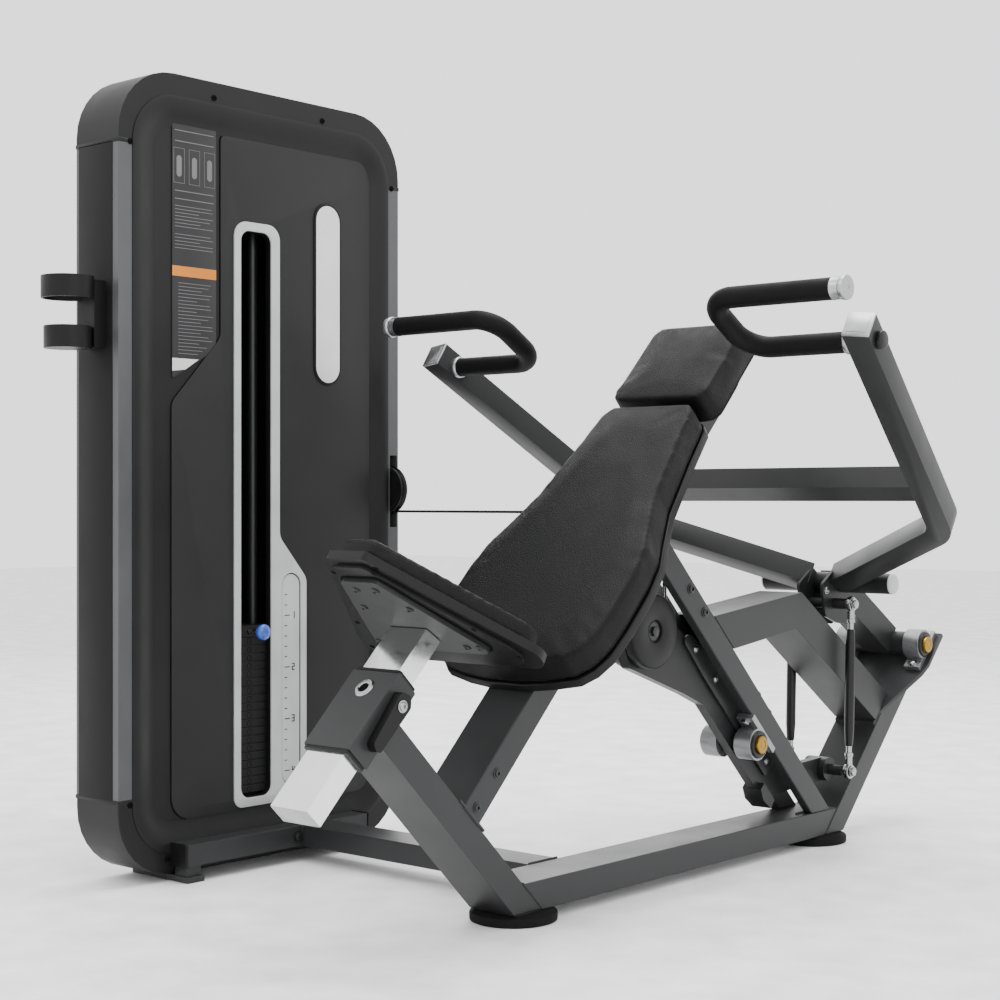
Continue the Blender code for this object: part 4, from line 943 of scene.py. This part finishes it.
def make_name_plate():
    plate = rounded(rectangle((0.185, 0.249), (0.944, 1.302)), 0.0318)
    rim = rounded(rectangle((0.18, 0.254), (0.939, 1.307)), 0.0368)
    blank = prism(SIDE, [plate], -0.6895, -0.684, bevel=0.0012, segments=3)
    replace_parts(piece("blank_plate", blank, "root", "white_plastic"), "name_plate")
    rim = prism(SIDE, [rim, plate], -0.6896, -0.6846, bevel=0.0008)
    piece("blank_plate_rim", rim, "root", "moulded_black")


def make_card():
    """Exercise card: a dark field with rows of plain strokes, one orange band and a pale corner."""
    card = plane((0, 1, 0), (0, 0, 1), (-0.688, -0.177, 0.936))
    field = rounded(mm((0, 0), (6, 0), (105, 58), (105, 474), (0, 474)), 0.002, 3)
    field = prism(card, [field], -0.002, 0.0, bevel=0.0004)
    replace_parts(piece("card_field", field, "root", "card_dark", "white_plastic"), "exercise_card")
    ink = [prism(card, [rectangle((0.006, 0.099), (v, v + 0.0016))], -0.0001, 0.0003)
           for v in (0.462, 0.442, 0.349, 0.334)]
    for top, rows, pitch, left in ((0.322, 7, 0.0064, 0.006), (0.269, 5, 0.0064, 0.006),
                                   (0.178, 21, 0.0066, 0.014)):
        for row in range(rows):
            v = top - row * pitch
            end = 0.098 - random.random() * 0.014
            if row % 3 == 2:
                end -= 0.026
            end = min(end, (v - 0.008) * 1.6)
            ink.append(prism(card, [rectangle((left, end), (v - 0.0011, v))], -0.0001, 0.0003))
    for u in (0.016, 0.0525, 0.089):
        outer = rectangle((u - 0.013, u + 0.013), (0.364, 0.43))
        inner = rectangle((u - 0.0122, u + 0.0122), (0.3648, 0.4292))
        ink.append(prism(card, [outer, inner], -0.0001, 0.0003))
        pill = rounded(rectangle((u - 0.006, u + 0.006), (0.376, 0.416)), 0.0059)
        ink.append(prism(card, [pill], -0.0001, 0.0003))
    gathered("card_strokes", ink, "root", "card_ink", "white_plastic")
    band = prism(card, [rectangle((0.0, 0.105), (0.19, 0.209))], -0.0001, 0.0004)
    piece("card_band", band, "root", "card_orange", "white_plastic")
    note = prism(card, [mm((0, 12), (30, 15.5), (63, 36), (0, 36))], -0.0001, 0.0004)
    piece("card_note", note, "root", "card_white", "white_plastic")


def make_tower_screws():
    heads = []
    for y, z in ((-0.086, 1.47), (0.194, 1.47), (-0.282, 1.359), (0.391, 1.359), (-0.282, 0.152),
                 (-0.198, 0.042), (0.303, 0.041), (0.391, 0.152)):
        heads += screw_head((TOWER_FACE, y, z), (1, 0, 0), 0.0058, 0.003)
        heads += screw_head((WALL_FACE, y, z), (-1, 0, 0), 0.0058, 0.003)
    gathered("tower_screws", heads, "root", "black_and_painted_shade", "cast_black")


def make_column_trim():
    """Dark plastic faces of the columns between their light corners, painted darker than the shroud plastic
    as shade, and the collars where the caps begin.
    """
    upright = plane((1, 0, 0), (0, 0, 1))
    for end, depth in (("front", (0.3078, 0.3092)), ("rear", (-0.4134, -0.4118))):
        # Painted shade: the dark face sheet is darker than the shroud plastic it stands for.
        face = block(upright, (-0.7955, -0.6945), (0.159, 1.359), depth, 0.0004)
        piece(f"column_{end}_face", face, "root", "column_dark_and_painted_shade", "shroud_plastic")
    trims = []
    for z0, z1 in ((1.356, 1.3635), (0.1545, 0.162)):
        outer = rounded(rectangle((-0.805, -0.676), (z0, z1)), 0.0012, 2)
        trims.append(prism(upright, [outer], 0.266, 0.3092, bevel=0.0008))
        trims.append(prism(upright, [outer], -0.4134, -0.373, bevel=0.0008))
    gathered("column_collars", trims, "root", "shroud_plastic")


def make_tower_foot_details():
    """Plugs in the ends of the base tube and the bolts beside the cross tube."""
    plugs = []
    for low, high in ((-0.1905, -0.1852), (0.2772, 0.2825)):
        plug = rounded(rectangle((0.0285, 0.0715), (-0.6785, -0.6305)), 0.003, 3)
        plugs.append(prism(plane((0, 0, 1), (1, 0, 0)), [plug], low, high, bevel=0.0014, segments=3))
    gathered("tube_plugs", plugs, "root", "moulded_black")
    bolts = []
    for y in (0.086, 0.19):
        bolts += hex_head((-0.6318, y, 0.05), (1, 0, 0), 0.008, 0.006, 0.011)
    gathered("cross_tube_bolts", bolts, "root", "dark_steel", "cast_black")


def make_stack_details():
    pin = axis_frame((STACK_X, STACK_Y, 0.451), (1, 0, 0))
    knob = mm((0, 93.5), (6, 93.2), (12, 91.2), (15, 88), (15.8, 84), (15, 79.5), (12, 76.5), (8, 75),
              (7, 69), (0, 69))
    made = piece("pin_knob", turned(pin, knob[::-1], 48), "selector_pin", "knob_blue")
    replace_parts(made, "selector_pin")
    shaft = mm((0, -18), (3.8, -18), (5, -14), (5, 70), (0, 70))
    piece("pin_shaft", turned(pin, shaft[::-1], 32), "selector_pin", "chrome")
    # Painted shade: near-black cups in the plates' pin holes.
    holes = []
    ring = mm((0, -3), (5.8, -3), (5.8, 0.4), (5, 0.4), (5, -2.2), (0, -2.2))
    for i in range(PLATES):
        place = (STACK_X + 0.0425, STACK_Y, STACK_BASE + (i + 0.5) * PLATE_PITCH)
        holes.append(turned(axis_frame(place, (1, 0, 0)), ring[::-1], 20))
    gathered("plate_hole_shade", holes, "root", "black_and_painted_shade", "cast_black")


def make_pulleys():
    """Finer turned wheels, with their bolts, for the pulleys outside the tower."""
    axle = Vector((0, 1, 0))
    for name, radius, half, centre in (("side_pulley", 0.0455, 0.009, (-0.695, 0.3985, 0.7285)),
                                       ("back_pulley", 0.042, 0.01, (-0.042, CABLE_Y, 0.641))):
        rim, floor = radius + 0.005, radius - 0.0033
        profile = [(0.004, -half), (0.012, -half), (0.014, -half + 0.002), (rim - 0.01, -half + 0.002),
                   (rim - 0.008, -half), (rim - 0.001, -half), (rim, -half + 0.001), (rim, -half + 0.0022),
                   (floor + 0.001, -0.003), (floor, -0.002), (floor, 0.002), (floor + 0.001, 0.003),
                   (rim, half - 0.0022), (rim, half - 0.001), (rim - 0.001, half), (rim - 0.008, half),
                   (rim - 0.01, half - 0.002), (0.014, half - 0.002), (0.012, half), (0.004, half)]
        wheel = turned(axis_frame(centre, axle), profile, 80)
        wheel = piece(f"{name}_wheel", wheel, name, "pulley_plastic")
        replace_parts(wheel, name)
        bolt = hex_head(Vector(centre) - axle * half, -axle, 0.008, 0.0045, 0.01)
        gathered(f"{name}_bolt", bolt, name, "steel", "chrome")


# ---------------------------------------------------------------- carried-over nodes
CAD_MATERIALS = {
    "frame_paint": ["base_rail", "front_post", "back_spine", "rear_post_left", "rear_post_right", "rear_tube",
                    "bent_beam", "seat_sleeve", "tower_pulley_frame", "back_pulley_bracket",
                    "tower_base_tube", "cross_tube"],
    "arm_paint": ["arm_crossbar", "arm_hinge", "lever_plate"],
    "cast_silver": ["arm_bearing_left", "arm_bearing_right", "lever_bearing_left", "lever_bearing_right"],
    "shroud_plastic": ["cap_top", "cap_bottom", "shroud_user_side", "shroud_wall_side"],
    "column_paint": ["column_front", "column_rear"],
    "moulded_black": ["back_shell", "bottle_holder", "seat_latch"],
    "cast_black": ["weight_stack", "head_plate"],
    "rubber": ["stack_cushion"],
    "chrome": ["seat_tube"],
    "dark_steel": ["guide_rod_front", "guide_rod_rear"],
    "bracket_grey": ["seat_bracket"],
    "pulley_plastic": ["top_pulley_front", "top_pulley_rear"],
    "cable_jacket": ["cable_run"],
}
BEVELS = {"frame_paint": 0.004, "arm_paint": 0.004, "cast_silver": 0.0025, "shroud_plastic": 0.005,
          "column_paint": 0.003, "moulded_black": 0.0025, "cast_black": 0.0006, "chrome": 0.001,
          "bracket_grey": 0.0015}
FINE_BEVELS = {"arm_hinge": 0.0014, "shroud_user_side": 0.001, "shroud_wall_side": 0.001,
               "lever_plate": 0.002, "bottle_holder": 0.0012, "guide_rod_front": 0.0006,
               "guide_rod_rear": 0.0006, "tower_base_tube": 0.002}


def dress_cad():
    for material, names in CAD_MATERIALS.items():
        for name in names:
            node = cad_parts[name]
            node.data.materials.clear()
            node.data.materials.append(MATERIAL[material])
            weld = node.modifiers.new("weld", "WELD")
            weld.merge_threshold = 0.00002
            width = FINE_BEVELS.get(name, BEVELS.get(material))
            if width:
                bevel = node.modifiers.new("bevel", "BEVEL")
                bevel.width = width
                bevel.segments = 3
                bevel.limit_method = "ANGLE"
                bevel.angle_limit = radians(38)
                bevel.harden_normals = False
            smooth = node.modifiers.new("normals", "WEIGHTED_NORMAL")
            smooth.keep_sharp = False


def make_cables():
    """The two stretches of cable that change length: each keeps one end on the frame."""
    spans = (("lever_cable", "cable_lever", "lever", (0, CABLE_Y, 0.641), (0, CABLE_Y, 0.5005)),
             ("stack_cable", "cable_stack", "stack_head", (STACK_X, STACK_Y, 1.375),
              (STACK_X, STACK_Y, 0.486)))
    for name, node, body, top, foot in spans:
        low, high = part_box(node)
        radius = (high.x - low.x) / 2
        steps = 40
        points = [Vector(top).lerp(Vector(foot), k / steps) for k in range(steps + 1)]
        cable = rod(points, radius, 5)
        cable.name = cable.data.name = name
        cable.data.materials.append(MATERIAL["cable_jacket"])
        cable.data.shade_smooth()
        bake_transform(cable)
        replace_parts(cable, node)


# ---------------------------------------------------------------- stage
def make_stage():
    mesh = bpy.data.meshes.new("floor")
    edit = bmesh.new()
    bmesh.ops.create_grid(edit, x_segments=4, y_segments=4, size=14.0)
    edit.to_mesh(mesh)
    edit.free()
    floor = linked("floor", mesh)
    floor.location.z = -0.0004
    mesh.materials.append(paint("floor_white", (0.86, 0.86, 0.86), 0.6, 60.0, 0.02))

    world = bpy.data.worlds.new("studio")
    world.use_nodes = True
    world.node_tree.nodes["Background"].inputs["Color"].default_value = (1.0, 1.0, 1.0, 1.0)
    world.node_tree.nodes["Background"].inputs["Strength"].default_value = 1.9
    bpy.context.scene.world = world
    area_light("key", (-1.2, -3.0, 3.8), 2.2, 38.0)
    area_light("fill", (4.0, -1.0, 2.4), 2.4, 30.0)
    area_light("top", (0.0, 0.9, 4.2), 2.6, 150.0)
    area_light("rim", (-3.0, 3.2, 2.6), 2.0, 60.0)


def area_light(name, place, size, power):
    light = bpy.data.lights.new(name, "AREA")
    light.energy = power
    light.size = size
    lamp = linked(name, light)
    lamp.location = ORIGIN + Vector(place)
    aim = ORIGIN + Vector((-0.1, 0.4, 0.6)) - lamp.location
    lamp.rotation_euler = aim.to_track_quat("-Z", "Y").to_euler()


def make_camera():
    camera = linked("camera", bpy.data.cameras.new("camera"))
    camera.location = ORIGIN + Vector((2.0026, -2.317, 0.7067))
    camera.rotation_euler = (radians(90), 0, atan2(0.6595, 0.7517))
    camera.data.lens = 65.31
    camera.data.sensor_width = 36.0
    bpy.context.scene.camera = camera


# ---------------------------------------------------------------- build
make_camera()
make_stage()
make_cushions()
make_shells()
make_grips()
make_arm_bars()
make_arm_caps()
make_arm_hinge_details()
make_bearing_bolts()
make_link_rods()
make_lever_details()
make_frame_details()
weld_beads()
make_sleeve_details()
make_tower_lip()
make_panels()
make_bezel()
make_name_plate()
make_card()
make_tower_screws()
make_column_trim()
make_tower_foot_details()
make_stack_details()
make_pulleys()
dress_cad()
make_cables()
